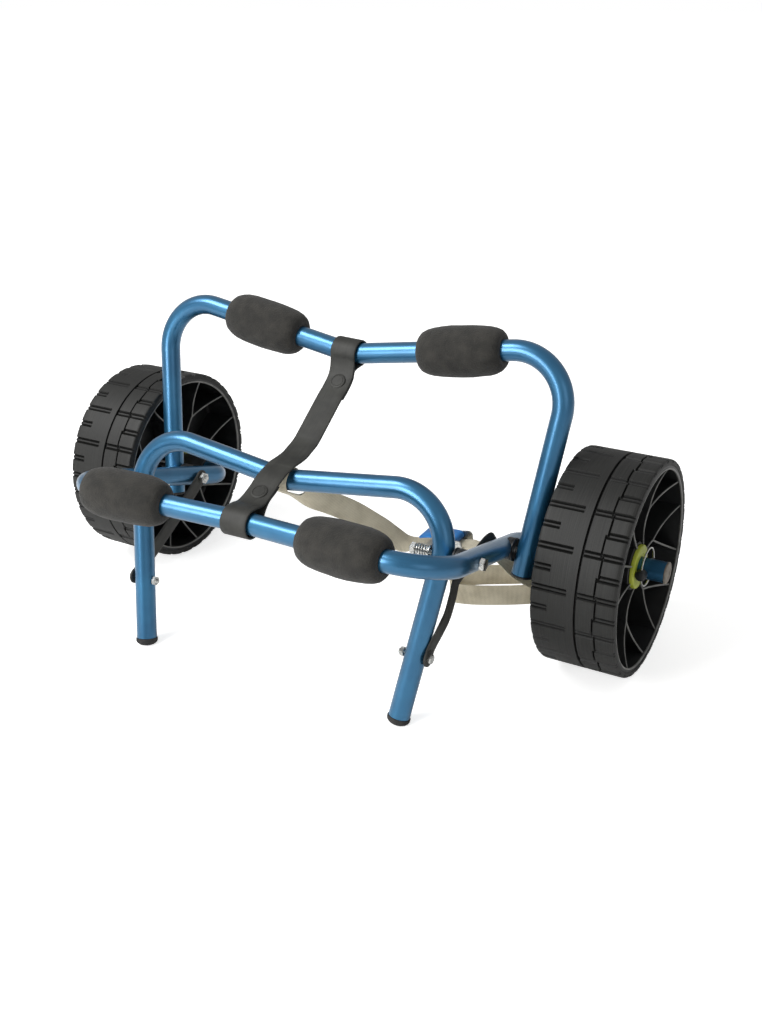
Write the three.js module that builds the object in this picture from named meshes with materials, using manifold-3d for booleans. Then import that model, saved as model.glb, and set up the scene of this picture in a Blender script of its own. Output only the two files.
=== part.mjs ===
// A folding kayak cart: three nested U frames of bent tube on two spoked wheels.
// Millimetres, +Z up, +X along the axle, +Y to the rear. The origin lies on the ground
// under the middle of the whole cart.
import * as THREE from 'three';
import { mergeVertices } from 'three/addons/utils/BufferGeometryUtils.js';
import Module from 'manifold-3d';

const wasm = await Module();
wasm.setup();

// Driving dimensions: tube and clearances
const tubeDiameter = 25;
const tubeWall = 1.6;
const seatGap = 0.3;
const runningGap = 0.4;
const cutOverrun = 5;
const apexBendRadius = 60;

// Driving dimensions: main frame, measured from the axle along its legs
const mainRiseDegrees = 18.6;
const mainSplayDegrees = 5.52;
const axleCornerHalf = 221;
const axleBendRadius = 30;
const axleEndBeyondPin = 23.6;
const mainLegLength = 300;
const mainBarDrop = 25;
const mainBendRadius = 58;
const rearPivotShare = 0.2333;
const kickPivotShare = 0.6567;

// Driving dimensions: rear bunk and kickstand, measured from their pivots along their legs
const rearLeanDegrees = 13.7;
const rearSplayDegrees = 6.7;
const rearPivotGap = 4.2;
const rearLegLength = 239.6;
const rearBarDrop = 44.5;
const rearBendRadius = 59;
const rearLegTail = 27;
const kickLeanDegrees = 16.1;
const kickSplayDegrees = 8.02;
const kickPivotGap = 7;
const kickLegLength = 72.2;
const kickBarDrop = 28;
const kickBendRadius = 60;
const limitBoltAlong = 118;

// Driving dimensions: wheels
const wheelRadius = 130;
const wheelWidth = 98;
const tyreThickness = 7;
const grooveDepth = 3.5;
const grooveWidth = 2.6;
const treadPitchCount = 17;
const treadPhaseDegrees = 18.6;
const rimThickness = 4.5;
const webThickness = 5;
const hubBossRadius = 29;
const hubFaceDepth = 13;
const ribCount = 7;
const ribThickness = 3.2;
const ribForkRadius = 70;
const ribArmSpreadDegrees = 15;
const ribTurnDegrees = 1.5;
const ribLowHalfWidth = 28.5;
const ribLowRadius = 58;
const ribRimStep = 3;

// Driving dimensions: hub bushes, retaining pins and rings
const bushFlangeRadius = 26.5;
const bushFlangeThickness = 5;
const bushSleeveRadius = 16;
const bushSleeveLength = 26;
const bushChamfer = 1.6;
const spacerSleeveWall = 3.2;
const spacerSleeveLength = 45.4;
const pinDiameter = 6;
const pinHeadRadius = 6.5;
const pinHeadLength = 10;
const ringRadius = 23;
const ringWire = 2.2;
const ringOffset = 4;

// Driving dimensions: pads, plugs and feet
const padLength = 104;
const padRadius = 30.2;
const padPlacesRear = [-126, 146];
const padPlacesMain = [-154, 136];
const plugLip = 3;
const plugLipOverhang = 0.6;
const plugDepth = 14;
const footHeight = 8;
const footDome = 7.5;
const footOverhang = 1;
const footDomeShares = [0, 0.45, 0.75];

// Driving dimensions: fasteners
const pivotBoltRadius = 4;
const pivotHexRadius = 7.5;
const pivotHeadHeight = 5.3;
const pivotNutHeight = 6;
const boltTail = 2;
const washerRadius = 9;
const washerThickness = 1.6;
const springRadius = 6.6;
const springWire = 2;
const springLength = 16;
const springTurns = 4.5;
const limitBoltRadius = 3;
const limitHexRadius = 5.8;
const limitHeadHeight = 4;
const limitNutHeight = 5;
const rearSaddleRadius = 14;
const kickSaddleRadius = 12;
const saddleWrap = 4;

// Driving dimensions: straps
const limitStrapWidth = 20;
const limitStrapThickness = 2.4;
const centreStrapWidth = 34;
const centreStrapThickness = 2.4;
const centreStrapPlace = -4;
const centreStrapSlack = 2.4;
const foldGap = 0.4;
const layerGap = 0.7;
const snapRadius = 10;
const snapHeight = 1.2;
const snapStudRadius = 7;
const snapCrownShare = 0.85;
const webbingWidth = 28;
const webbingThickness = 1.5;
const webbingPlace = -19;

// Driving dimensions: cam buckle
const bucklePlace = [148, -48, 128];
const buckleTiltDegrees = 10;
const buckleLength = 58;
const buckleWidth = 33;
const buckleWall = 2;
const buckleCheekLength = 38;
const buckleCheekHeight = 13;
const cheekRoundShare = 0.6;
const cheekPlace = 6;
const leverPinPlace = 9;
const leverPinRadius = 2;
const camRadius = 5.6;
const leverReach = 42;
const leverThickness = 2.6;
const leverRise = 3.4;
const leverCrestShare = 0.333;

// Facet counts
const tubeSides = 16;
const boreSides = 12;
const roundSides = 16;
const boltSides = 8;
const wheelSides = 32;
const bendStepDegrees = 20;
const wireSides = 5;
const ringSteps = 18;
const springSides = 5;
const springStepsPerTurn = 8;
const limitStrapSteps = 16;

// Values worked out from the driving dimensions
const radians = THREE.MathUtils.degToRad;
const tubeRadius = tubeDiameter / 2;
const boreRadius = tubeRadius - tubeWall;
const axleHeight = wheelRadius;
const mainSplay = Math.tan(radians(mainSplayDegrees));
const mainLegAt = (along) => axleCornerHalf + mainSplay * along;
const mainBarHalf = mainLegAt(mainLegLength);
const rearPivotAlong = rearPivotShare * mainLegLength;
const kickPivotAlong = kickPivotShare * mainLegLength;
const rearSplay = Math.tan(radians(rearSplayDegrees));
const rearPivotHalf = mainLegAt(rearPivotAlong) + tubeDiameter + rearPivotGap;
const rearLegAt = (along) => rearPivotHalf + rearSplay * along;
const rearBarHalf = rearLegAt(rearLegLength);
const kickSplay = Math.tan(radians(kickSplayDegrees));
const kickPivotHalf = mainLegAt(kickPivotAlong) - tubeDiameter - kickPivotGap;
const kickLegAt = (along) => kickPivotHalf + kickSplay * along;
const kickBarHalf = kickLegAt(kickLegLength);

// Along the axle: the tube's bend, the spacer sleeve, the wheel's hub, the retaining pin, the tube's end.
const axleTurn = Math.PI / 2 + radians(mainSplayDegrees);
const axleBendEnd = axleCornerHalf + axleBendRadius * Math.tan(axleTurn / 2);
const hubFace = wheelWidth / 2 - hubFaceDepth;
const wheelMiddle = axleBendEnd + seatGap + spacerSleeveLength + seatGap + hubFace;
const pinPlace = wheelMiddle + hubFace + seatGap + pinHeadRadius;
const axleTubeHalf = pinPlace + axleEndBeyondPin;

// Materials
const paint = (color, roughness, metalness) =>
  new THREE.MeshStandardMaterial({ color, roughness, metalness });
const anodised = paint('#2f74a8', 0.35, 0.8);
const foam = paint('#3b3a36', 0.95, 0);
const blackPlastic = paint('#232323', 0.6, 0);
const tyreRubber = paint('#2c2c2b', 0.85, 0);
const wheelPlastic = paint('#1c1d1e', 0.55, 0);
const limePlastic = paint('#a9b83c', 0.5, 0);
const greyPlastic = paint('#6d6862', 0.6, 0);
const strapRubber = paint('#3a3a38', 0.8, 0);
const webbingCloth = paint('#b5ae97', 0.9, 0);
const zincSteel = paint('#c8c6c0', 0.3, 0.9);
const bluePlastic = paint('#1f6db5', 0.4, 0);

// Solids and meshes

function solidFrom(geometry) {
  const bare = new THREE.BufferGeometry();
  bare.setAttribute('position', geometry.getAttribute('position'));
  bare.setIndex(geometry.index);
  const merged = mergeVertices(bare);
  return new wasm.Manifold(
    new wasm.Mesh({
      numProp: 3,
      vertProperties: Float32Array.from(merged.attributes.position.array),
      triVerts: Uint32Array.from(merged.index.array),
    }),
  );
}

function geometryFrom(solid) {
  const mesh = solid.getMesh();
  const indexed = new THREE.BufferGeometry();
  indexed.setAttribute('position', new THREE.BufferAttribute(mesh.vertProperties, 3));
  indexed.setIndex(new THREE.BufferAttribute(mesh.triVerts, 1));
  const geometry = indexed.toNonIndexed();
  geometry.computeVertexNormals();
  return geometry;
}

function cutAll(solid, cutters) {
  return cutters.reduce((left, cutter) => left.subtract(cutter), solid);
}

function joinAll(solids) {
  return solids.reduce((joined, solid) => joined.add(solid));
}

function addPiece(parent, name, geometry, material) {
  const mesh = new THREE.Mesh(geometry, material);
  mesh.name = name;
  parent.add(mesh);
  return mesh;
}

// Shapes that several pieces use

function ringOutline(radius, sides) {
  return Array.from({ length: sides }, (unused, i) => {
    const angle = (2 * Math.PI * i) / sides;
    return new THREE.Vector2(radius * Math.cos(angle), radius * Math.sin(angle));
  });
}

// A revolved solid about the X axis. The profile's pairs are a radius and a place along X.
function revolved(profile, sides) {
  const closed = [...profile, profile[0]].map(([radius, along]) => new THREE.Vector2(radius, along));
  return new THREE.LatheGeometry(closed, sides).rotateZ(-Math.PI / 2);
}

// A revolved solid with no bore: the profile starts and ends on the X axis.
function revolvedFull(profile, sides) {
  const points = profile.map(([radius, along]) => new THREE.Vector2(radius, along));
  return new THREE.LatheGeometry(points, sides).rotateZ(-Math.PI / 2);
}

// A cylinder along X between two places.
function rod(radius, from, to, sides) {
  const length = to - from;
  return new THREE.CylinderGeometry(radius, radius, length, sides)
    .rotateZ(-Math.PI / 2)
    .translate((from + to) / 2, 0, 0);
}

// A curve given by stations, each with its point, its tangent and the direction across it.
class StationCurve extends THREE.Curve {
  constructor(stations) {
    super();
    this.stations = stations;
  }

  getPoint(share, target = new THREE.Vector3()) {
    const place = share * (this.stations.length - 1);
    const first = Math.min(Math.floor(place), this.stations.length - 2);
    return target.lerpVectors(this.stations[first].point, this.stations[first + 1].point, place - first);
  }

  getSpacedPoints() {
    return this.stations.map((station) => station.point.clone());
  }

  computeFrenetFrames() {
    return {
      tangents: this.stations.map((station) => station.tangent),
      normals: this.stations.map((station) => station.across),
      binormals: this.stations.map((station) => station.tangent.clone().cross(station.across)),
    };
  }
}

function sweep(stations, outline, hole) {
  const shape = new THREE.Shape(outline);
  if (hole) {
    shape.holes.push(new THREE.Path(hole));
  }
  const extrudePath = new StationCurve(stations);
  return new THREE.ExtrudeGeometry(shape, { steps: stations.length - 1, extrudePath });
}

// The U frames: each is drawn in its own plane, x across the cart and z along its legs

const planeNormal = new THREE.Vector3(0, 1, 0);

function corner(x, z, radius = 0) {
  return { at: new THREE.Vector3(x, 0, z), radius };
}

// Both halves of a U from its right half, which runs from the leg's end to the bar's middle.
function bothHalves(rightHalf) {
  const leftHalf = rightHalf.slice(0, -1).map(({ at, radius }) => corner(-at.x, at.z, radius));
  return [...leftHalf, ...rightHalf.toReversed()];
}

// Stations along straight runs, with an arc of each corner's radius between them.
function bentLine(corners) {
  const stations = [];
  corners.forEach(({ at, radius }, i) => {
    const before = corners[i - 1]?.at;
    const after = corners[i + 1]?.at;
    const heading = before ? at.clone().sub(before).normalize() : after.clone().sub(at).normalize();
    if (!before || !after) {
      stations.push({ point: at, tangent: heading, across: planeNormal });
      return;
    }
    const leaving = after.clone().sub(at).normalize();
    const turn = heading.angleTo(leaving);
    const axis = heading.clone().cross(leaving).normalize();
    const start = at.clone().addScaledVector(heading, -radius * Math.tan(turn / 2));
    const centre = start.clone().addScaledVector(axis.clone().cross(heading), radius);
    const steps = Math.ceil(turn / radians(bendStepDegrees));
    for (let step = 0; step <= steps; step += 1) {
      const angle = (turn * step) / steps;
      const arm = start.clone().sub(centre).applyAxisAngle(axis, angle);
      const tangent = heading.clone().applyAxisAngle(axis, angle);
      stations.push({ point: centre.clone().add(arm), tangent, across: planeNormal });
    }
  });
  return stations;
}

function tubeWithHoles(stations, holes) {
  const outline = ringOutline(tubeRadius, tubeSides);
  const bore = ringOutline(boreRadius, boreSides);
  return cutAll(solidFrom(sweep(stations, outline, bore)), holes.map(solidFrom));
}

// A hole along X through the tube at x and z of the frame's own plane.
function crossHole(radius, x, z) {
  const reach = tubeRadius + cutOverrun;
  return rod(radius, x - reach, x + reach, boltSides).translate(0, 0, z);
}

function holePair(radius, x, z) {
  return [crossHole(radius, x, z), crossHole(radius, -x, z)];
}

const mainStations = bentLine(
  bothHalves([
    corner(axleTubeHalf, 0),
    corner(axleCornerHalf, 0, axleBendRadius),
    corner(mainBarHalf, mainLegLength, mainBendRadius),
    corner(0, mainLegLength - mainBarDrop, apexBendRadius),
  ]),
);
const rearStations = bentLine(
  bothHalves([
    corner(rearLegAt(-rearLegTail), -rearLegTail),
    corner(rearBarHalf, rearLegLength, rearBendRadius),
    corner(0, rearLegLength - rearBarDrop, apexBendRadius),
  ]),
);

const mainFrame = new THREE.Group();
mainFrame.position.set(0, 0, axleHeight);
mainFrame.rotation.x = Math.PI / 2 - radians(mainRiseDegrees);
mainFrame.updateMatrix();

function pivotOnMain(along) {
  return new THREE.Vector3(0, 0, along).applyMatrix4(mainFrame.matrix);
}

const rearPivot = pivotOnMain(rearPivotAlong);
const kickPivot = pivotOnMain(kickPivotAlong);

const rearFrame = new THREE.Group();
rearFrame.position.copy(rearPivot);
rearFrame.rotation.x = -radians(rearLeanDegrees);
rearFrame.updateMatrix();

const kickFrame = new THREE.Group();
kickFrame.position.copy(kickPivot);
kickFrame.rotation.x = -radians(kickLeanDegrees);
kickFrame.updateMatrix();

// The kickstand's legs end where their feet reach the ground.
const kickLegDrop = kickPivot.z / Math.cos(radians(kickLeanDegrees)) - footHeight;
const kickStations = bentLine(
  bothHalves([
    corner(kickLegAt(-kickLegDrop), -kickLegDrop),
    corner(kickBarHalf, kickLegLength, kickBendRadius),
    corner(0, kickLegLength - kickBarDrop, apexBendRadius),
  ]),
);

const cart = new THREE.Group();
cart.add(mainFrame, rearFrame, kickFrame);

// The radius of a hole's corners that leaves a round shank room at the middle of its facets.
const holeFor = (shankRadius) => (shankRadius + seatGap) / Math.cos(Math.PI / boltSides);
const pivotHole = holeFor(pivotBoltRadius);
const limitHole = holeFor(limitBoltRadius);
const pinHole = holeFor(pinDiameter / 2);

function axlePinHole(side) {
  const reach = tubeRadius + cutOverrun;
  return new THREE.CylinderGeometry(pinHole, pinHole, 2 * reach, boltSides)
    .rotateX(-mainFrame.rotation.x)
    .translate(side * pinPlace, 0, 0);
}

const mainTube = tubeWithHoles(mainStations, [
  ...holePair(pivotHole, mainLegAt(rearPivotAlong), rearPivotAlong),
  ...holePair(pivotHole, mainLegAt(kickPivotAlong), kickPivotAlong),
  axlePinHole(1),
  axlePinHole(-1),
]);
const rearTube = tubeWithHoles(rearStations, holePair(pivotHole, rearPivotHalf, 0));
const kickTube = tubeWithHoles(kickStations, [
  ...holePair(pivotHole, kickPivotHalf, 0),
  ...holePair(limitHole, kickLegAt(-limitBoltAlong), -limitBoltAlong),
]);
addPiece(mainFrame, 'main_frame_tube', geometryFrom(mainTube), anodised);
addPiece(rearFrame, 'rear_bunk_tube', geometryFrom(rearTube), anodised);
addPiece(kickFrame, 'kickstand_tube', geometryFrom(kickTube), anodised);

// Foam pads: barrels with rounded ends, bored to fit the bar that they are pushed onto

// Pairs: share of the half length, share of the greatest radius.
const padProfileShares = [
  [1, 0.62],
  [0.92, 0.8],
  [0.68, 0.94],
  [0.28, 1],
];

function padBarrel() {
  const upper = padProfileShares.map(([along, out]) => [out * padRadius, (along * padLength) / 2]);
  const lower = upper.map(([radius, along]) => [radius, -along]);
  return revolvedFull([[0, lower[0][1]], ...lower, ...upper.toReversed(), [0, upper[0][1]]], roundSides);
}

function padOn(stations, barHalf, barAlong, drop, place) {
  const tilt = Math.atan2(drop, barHalf);
  const middleDrop = drop * (1 - Math.abs(place) / barHalf);
  const barrel = padBarrel()
    .rotateY(place < 0 ? tilt : -tilt)
    .translate(place, 0, barAlong - middleDrop);
  const bore = sweep(stations, ringOutline(tubeRadius + seatGap, tubeSides));
  return geometryFrom(solidFrom(barrel).subtract(solidFrom(bore)));
}

padPlacesRear.forEach((place) => {
  const pad = padOn(rearStations, rearBarHalf, rearLegLength, rearBarDrop, place);
  addPiece(rearFrame, place < 0 ? 'rear_left_pad' : 'rear_right_pad', pad, foam);
});
padPlacesMain.forEach((place) => {
  const pad = padOn(mainStations, mainBarHalf, mainLegLength, mainBarDrop, place);
  addPiece(mainFrame, place < 0 ? 'main_left_pad' : 'main_right_pad', pad, foam);
});

// Plugs in the open tube ends, and the kickstand's rubber feet

const sides = [
  { side: 1, word: 'right' },
  { side: -1, word: 'left' },
];

// Along X: the stem fills the bore up to zero, the lip covers the tube's end beyond it.
function plug() {
  const stemRadius = boreRadius - seatGap;
  const lipRadius = tubeRadius + plugLipOverhang;
  return revolvedFull(
    [
      [0, -plugDepth],
      [stemRadius, -plugDepth],
      [stemRadius, seatGap],
      [lipRadius, seatGap],
      [lipRadius, plugLip - plugLipOverhang],
      [tubeRadius, plugLip],
      [0, plugLip],
    ],
    boreSides,
  );
}

function foot() {
  const stemRadius = boreRadius - seatGap;
  const lipRadius = tubeRadius + footOverhang;
  const dome = footDomeShares.map((share) => {
    const radius = lipRadius * Math.cos((share * Math.PI) / 2);
    return [radius, plugLip + footDome * Math.sin((share * Math.PI) / 2)];
  });
  return revolvedFull(
    [
      [0, -plugDepth],
      [stemRadius, -plugDepth],
      [stemRadius, seatGap],
      [lipRadius, seatGap],
      ...dome,
      [0, plugLip + footDome],
    ],
    boreSides,
  );
}

// Turns a piece drawn along X so that it points along a direction of the frame's plane.
function aimed(geometry, x, z, directionX, directionZ) {
  return geometry.rotateY(-Math.atan2(directionZ, directionX)).translate(x, 0, z);
}

function footCut(geometry) {
  const inWorld = solidFrom(geometry.applyMatrix4(kickFrame.matrix));
  const size = 2 * kickBarHalf;
  const ground = new THREE.BoxGeometry(2 * size, 2 * size, size).translate(0, 0, -size / 2);
  return geometryFrom(inWorld.subtract(solidFrom(ground)));
}

sides.forEach(({ side, word }) => {
  const axlePlug = aimed(plug(), side * axleTubeHalf, 0, side, 0);
  addPiece(mainFrame, `${word}_axle_plug`, axlePlug, greyPlastic);
  const rearEnd = side * rearLegAt(-rearLegTail);
  const rearPlug = aimed(plug(), rearEnd, -rearLegTail, -side * rearSplay, -1);
  addPiece(rearFrame, `${word}_rear_leg_plug`, rearPlug, blackPlastic);
  const kickEnd = side * kickLegAt(-kickLegDrop);
  const kickFoot = footCut(aimed(foot(), kickEnd, -kickLegDrop, -side * kickSplay, -1));
  addPiece(cart, `${word}_foot`, kickFoot, blackPlastic);
});

// Fasteners, along X, drawn for the right side and turned round for the left

function hexHead(radius, from, to) {
  return rod(radius, from, to, 6);
}

// A bolt whose head lies outboard and whose shank runs inboard.
function bolt(headRadius, headHeight, shankRadius, headFrom, shankTo) {
  const head = solidFrom(hexHead(headRadius, headFrom, headFrom + headHeight));
  const shank = solidFrom(rod(shankRadius, shankTo, headFrom + headHeight / 2, boltSides));
  return geometryFrom(head.add(shank));
}

function nut(radius, holeRadius, from, to) {
  const hole = solidFrom(rod(holeRadius, from - cutOverrun, to + cutOverrun, boltSides));
  return geometryFrom(solidFrom(hexHead(radius, from, to)).subtract(hole));
}

function washer(radius, holeRadius, from, to) {
  return revolved(
    [
      [holeRadius, from],
      [radius, from],
      [radius, to],
      [holeRadius, to],
    ],
    roundSides,
  );
}

// The least gap between the turns of a wound wire, measured between points at least half a turn apart.
function leastTurnGap(points, wire, stepsPerTurn) {
  let least = Infinity;
  points.forEach((point, i) => {
    points.slice(i + Math.ceil(stepsPerTurn / 2)).forEach((other) => {
      least = Math.min(least, point.distanceTo(other) - wire);
    });
  });
  return least;
}

function coilSpring(from, to) {
  const steps = Math.round(springTurns * springStepsPerTurn);
  const stations = Array.from({ length: steps + 1 }, (unused, i) => {
    const share = i / steps;
    const angle = 2 * Math.PI * springTurns * share;
    const out = new THREE.Vector3(0, Math.cos(angle), Math.sin(angle));
    const along = THREE.MathUtils.lerp(from, to, share);
    const pitch = (to - from) / (2 * Math.PI * springTurns);
    const tangent = new THREE.Vector3(pitch, -springRadius * out.z, springRadius * out.y).normalize();
    return { point: out.clone().multiplyScalar(springRadius).setX(along), tangent, across: out };
  });
  const gap = leastTurnGap(stations.map((station) => station.point), springWire, springStepsPerTurn);
  console.log(`coil spring: least gap between turns ${gap.toFixed(2)} mm`);
  return sweep(stations, ringOutline(springWire / 2, springSides));
}

// A spacer on a main frame leg: a round block hollowed to the leg, with a flat face to the pivoting leg.
function saddle(radius, from, to, along) {
  const block = solidFrom(rod(radius, from, to, roundSides));
  const leg = sweep(mainStations, ringOutline(tubeRadius + seatGap, tubeSides));
  const pivot = pivotOnMain(along);
  const cutter = leg.applyMatrix4(mainFrame.matrix).translate(0, -pivot.y, -pivot.z);
  const hole = rod(pivotHole, from - cutOverrun, to + cutOverrun, boltSides);
  return geometryFrom(cutAll(block, [cutter, hole].map(solidFrom)));
}

// The tubes lean away from square across a round piece that lies on them, by this much at its edge.
const leanRoom = (radius, splay) => radius * splay + seatGap;

// Rear bunk pivot, from outboard to inboard
const rearHeadFrom = rearPivotHalf + tubeRadius + leanRoom(pivotHexRadius, rearSplay);
const rearSaddleTo = rearPivotHalf - tubeRadius - leanRoom(rearSaddleRadius, rearSplay);
const rearSaddleFrom = mainLegAt(rearPivotAlong) + saddleWrap;
const upperTabOuter = mainLegAt(rearPivotAlong) - tubeRadius - leanRoom(limitStrapWidth / 2, mainSplay);
const upperTabMiddle = upperTabOuter - limitStrapThickness / 2;
const rearNutTo = upperTabOuter - limitStrapThickness - seatGap;
const rearNutFrom = rearNutTo - pivotNutHeight;

// Kickstand pivot, from outboard to inboard
const kickHeadFrom = mainLegAt(kickPivotAlong) + tubeRadius + leanRoom(pivotHexRadius, mainSplay);
const kickSaddleTo = mainLegAt(kickPivotAlong) - saddleWrap;
const kickSaddleFrom = kickPivotHalf + tubeRadius + leanRoom(kickSaddleRadius, kickSplay);
const kickWasherTo = kickPivotHalf - tubeRadius - leanRoom(washerRadius, kickSplay);
const kickWasherFrom = kickWasherTo - washerThickness;
const springTo = kickWasherFrom - seatGap - springWire / 2;
const springFrom = springTo - springLength + springWire;
const kickNutTo = springFrom - springWire / 2 - seatGap;
const kickNutFrom = kickNutTo - pivotNutHeight;

// Lower bolt of the limit strap, from outboard to inboard
const limitLegHalf = kickLegAt(-limitBoltAlong);
const lowerTabInner = limitLegHalf + tubeRadius + leanRoom(limitStrapWidth / 2, kickSplay);
const lowerTabMiddle = lowerTabInner + limitStrapThickness / 2;
const limitHeadFrom = lowerTabInner + limitStrapThickness + seatGap;
const limitNutTo = limitLegHalf - tubeRadius - leanRoom(limitHexRadius, kickSplay);
const limitNutFrom = limitNutTo - limitNutHeight;
const limitBolt = new THREE.Vector3(0, 0, -limitBoltAlong).applyMatrix4(kickFrame.matrix);

sides.forEach(({ side, word }) => {
  const turn = side > 0 ? 0 : Math.PI;
  const place = (name, geometry, centre, material) => {
    const mesh = addPiece(cart, name, geometry, material);
    mesh.position.copy(centre);
    mesh.rotation.z = turn;
  };
  const rearTail = rearNutFrom - boltTail;
  const rearBolt = bolt(pivotHexRadius, pivotHeadHeight, pivotBoltRadius, rearHeadFrom, rearTail);
  const rearNut = nut(pivotHexRadius, holeFor(pivotBoltRadius), rearNutFrom, rearNutTo);
  place(`${word}_rear_pivot_bolt`, rearBolt, rearPivot, zincSteel);
  place(`${word}_rear_pivot_nut`, rearNut, rearPivot, zincSteel);

  const kickTail = kickNutFrom - boltTail;
  const kickBolt = bolt(pivotHexRadius, pivotHeadHeight, pivotBoltRadius, kickHeadFrom, kickTail);
  const kickNut = nut(pivotHexRadius, holeFor(pivotBoltRadius), kickNutFrom, kickNutTo);
  const kickWasher = washer(washerRadius, holeFor(pivotBoltRadius), kickWasherFrom, kickWasherTo);
  place(`${word}_kickstand_pivot_bolt`, kickBolt, kickPivot, zincSteel);
  place(`${word}_kickstand_pivot_nut`, kickNut, kickPivot, zincSteel);
  place(`${word}_kickstand_washer`, kickWasher, kickPivot, zincSteel);
  place(`${word}_kickstand_spring`, coilSpring(springFrom, springTo), kickPivot, zincSteel);

  const lowerTail = limitNutFrom - boltTail;
  const lowerBolt = bolt(limitHexRadius, limitHeadHeight, limitBoltRadius, limitHeadFrom, lowerTail);
  const lowerNut = nut(limitHexRadius, holeFor(limitBoltRadius), limitNutFrom, limitNutTo);
  place(`${word}_limit_strap_bolt`, lowerBolt, limitBolt, zincSteel);
  place(`${word}_limit_strap_nut`, lowerNut, limitBolt, zincSteel);
});

// The saddles are cut to the right leg, and the left ones are their mirror images.
const rearSaddle = saddle(rearSaddleRadius, rearSaddleFrom, rearSaddleTo, rearPivotAlong);
const kickSaddle = saddle(kickSaddleRadius, kickSaddleFrom, kickSaddleTo, kickPivotAlong);
sides.forEach(({ side, word }) => {
  const rearMesh = addPiece(cart, `${word}_rear_saddle`, rearSaddle, blackPlastic);
  rearMesh.position.copy(rearPivot);
  rearMesh.scale.x = side;
  const kickMesh = addPiece(cart, `${word}_kickstand_saddle`, kickSaddle, blackPlastic);
  kickMesh.position.copy(kickPivot);
  kickMesh.scale.x = side;
});

// Straps: a flat band along stations whose width direction is given

// The corners of a band's section, as signs across and through it, and the triangles between the corners
// at one station, 0 to 3, and at the next, 4 to 7. Both faces are split along the same diagonals, so that
// they stay apart where the band twists.
const bandCorners = [
  [-1, -1],
  [1, -1],
  [1, 1],
  [-1, 1],
];
const bandStart = [0, 2, 1, 0, 3, 2];
const bandEnd = [0, 1, 2, 0, 2, 3];
const bandSides = [
  [0, 1, 5, 0, 5, 4],
  [1, 2, 6, 1, 6, 5],
  [2, 3, 6, 3, 7, 6],
  [3, 0, 4, 3, 4, 7],
].flat();

function bandAlong(stations, width, thickness) {
  const places = stations.flatMap(({ point, tangent, across }) => {
    const above = tangent.clone().cross(across);
    return bandCorners.flatMap(([aside, up]) => {
      const place = point.clone().addScaledVector(across, (aside * width) / 2);
      return place.addScaledVector(above, (up * thickness) / 2).toArray();
    });
  });
  const cornersBefore = (step) => step * bandCorners.length;
  const last = cornersBefore(stations.length - 1);
  const walls = stations.slice(1).flatMap((unused, step) => bandSides.map((i) => cornersBefore(step) + i));
  const indexed = new THREE.BufferGeometry();
  indexed.setAttribute('position', new THREE.Float32BufferAttribute(places, 3));
  indexed.setIndex([...bandStart, ...walls, ...bandEnd.map((i) => last + i)]);
  const geometry = indexed.toNonIndexed();
  geometry.computeVertexNormals();
  return geometry;
}

function strapStations(path) {
  return path.map(({ point, width }, i) => {
    const before = path[Math.max(i - 1, 0)].point;
    const after = path[Math.min(i + 1, path.length - 1)].point;
    const tangent = after.clone().sub(before).normalize();
    const across = width.clone().addScaledVector(tangent, -width.dot(tangent)).normalize();
    return { point, tangent, across };
  });
}

// A smooth run through points, its width direction turning evenly from one to the next.
function smoothRun(knots, steps) {
  const curve = new THREE.CatmullRomCurve3(knots.map((knot) => knot.point), false, 'centripetal');
  return Array.from({ length: steps + 1 }, (unused, i) => {
    const share = i / steps;
    const place = share * (knots.length - 1);
    const first = Math.min(Math.floor(place), knots.length - 2);
    const width = knots[first].width.clone().lerp(knots[first + 1].width, place - first);
    return { point: curve.getPoint(share), width: width.normalize() };
  });
}

// An arc round a bar whose direction is the strap's width. Angles run from +Y towards +Z.
function arcRound(centre, width, radius, fromDegrees, toDegrees, steps) {
  const back = new THREE.Vector3(0, 1, 0).addScaledVector(width, -width.y).normalize();
  const up = width.clone().cross(back);
  return Array.from({ length: steps + 1 }, (unused, i) => {
    const angle = radians(THREE.MathUtils.lerp(fromDegrees, toDegrees, i / steps));
    const point = centre.clone().addScaledVector(back, radius * Math.cos(angle));
    return { point: point.addScaledVector(up, radius * Math.sin(angle)), width };
  });
}

// Where a strap crosses a U's bar, in the cart's frame: the line between the two places under its edges.
// Across the bar's middle, where its halves meet lowest, the line is let down by a share of that dip.
function barAt(frame, barHalf, barAlong, drop, { place, width, dipShare }) {
  const slope = drop / barHalf;
  const heightAt = (x) => barAlong - drop + slope * Math.abs(x);
  const from = place - width / 2;
  const to = place + width / 2;
  const tilt = (heightAt(to) - heightAt(from)) / width;
  const chord = (heightAt(to) + heightAt(from)) / 2;
  const dip = from * to < 0 ? chord - tilt * place - heightAt(0) : 0;
  return {
    point: new THREE.Vector3(place, 0, chord - dipShare * dip).applyMatrix4(frame.matrix),
    width: new THREE.Vector3(1, 0, tilt).transformDirection(frame.matrix),
  };
}

// Limit straps: a tab on each bolt, the right one bowed up between them,
// the left one hanging nearly straight.
// Triples: place across between the two tabs, back and up from the lower to the upper bolt, as shares.
const rightLimitShares = [
  [0, 0.04, 0.11],
  [0.85, 0.12, 0.36],
  [1, 0.225, 0.52],
  [1, 0.31, 0.76],
  [0.9, 0.38, 0.97],
  [0.8, 0.53, 1.12],
  [0.8, 0.72, 1.18],
  [0.85, 0.87, 1.3],
  [0.95, 0.955, 1.26],
];
const leftLimitShares = [
  [0.1, 0.09, 0.08],
  [0.35, 0.22, 0.18],
  [0.55, 0.4, 0.35],
  [0.75, 0.62, 0.57],
  [0.9, 0.82, 0.79],
];

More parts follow.
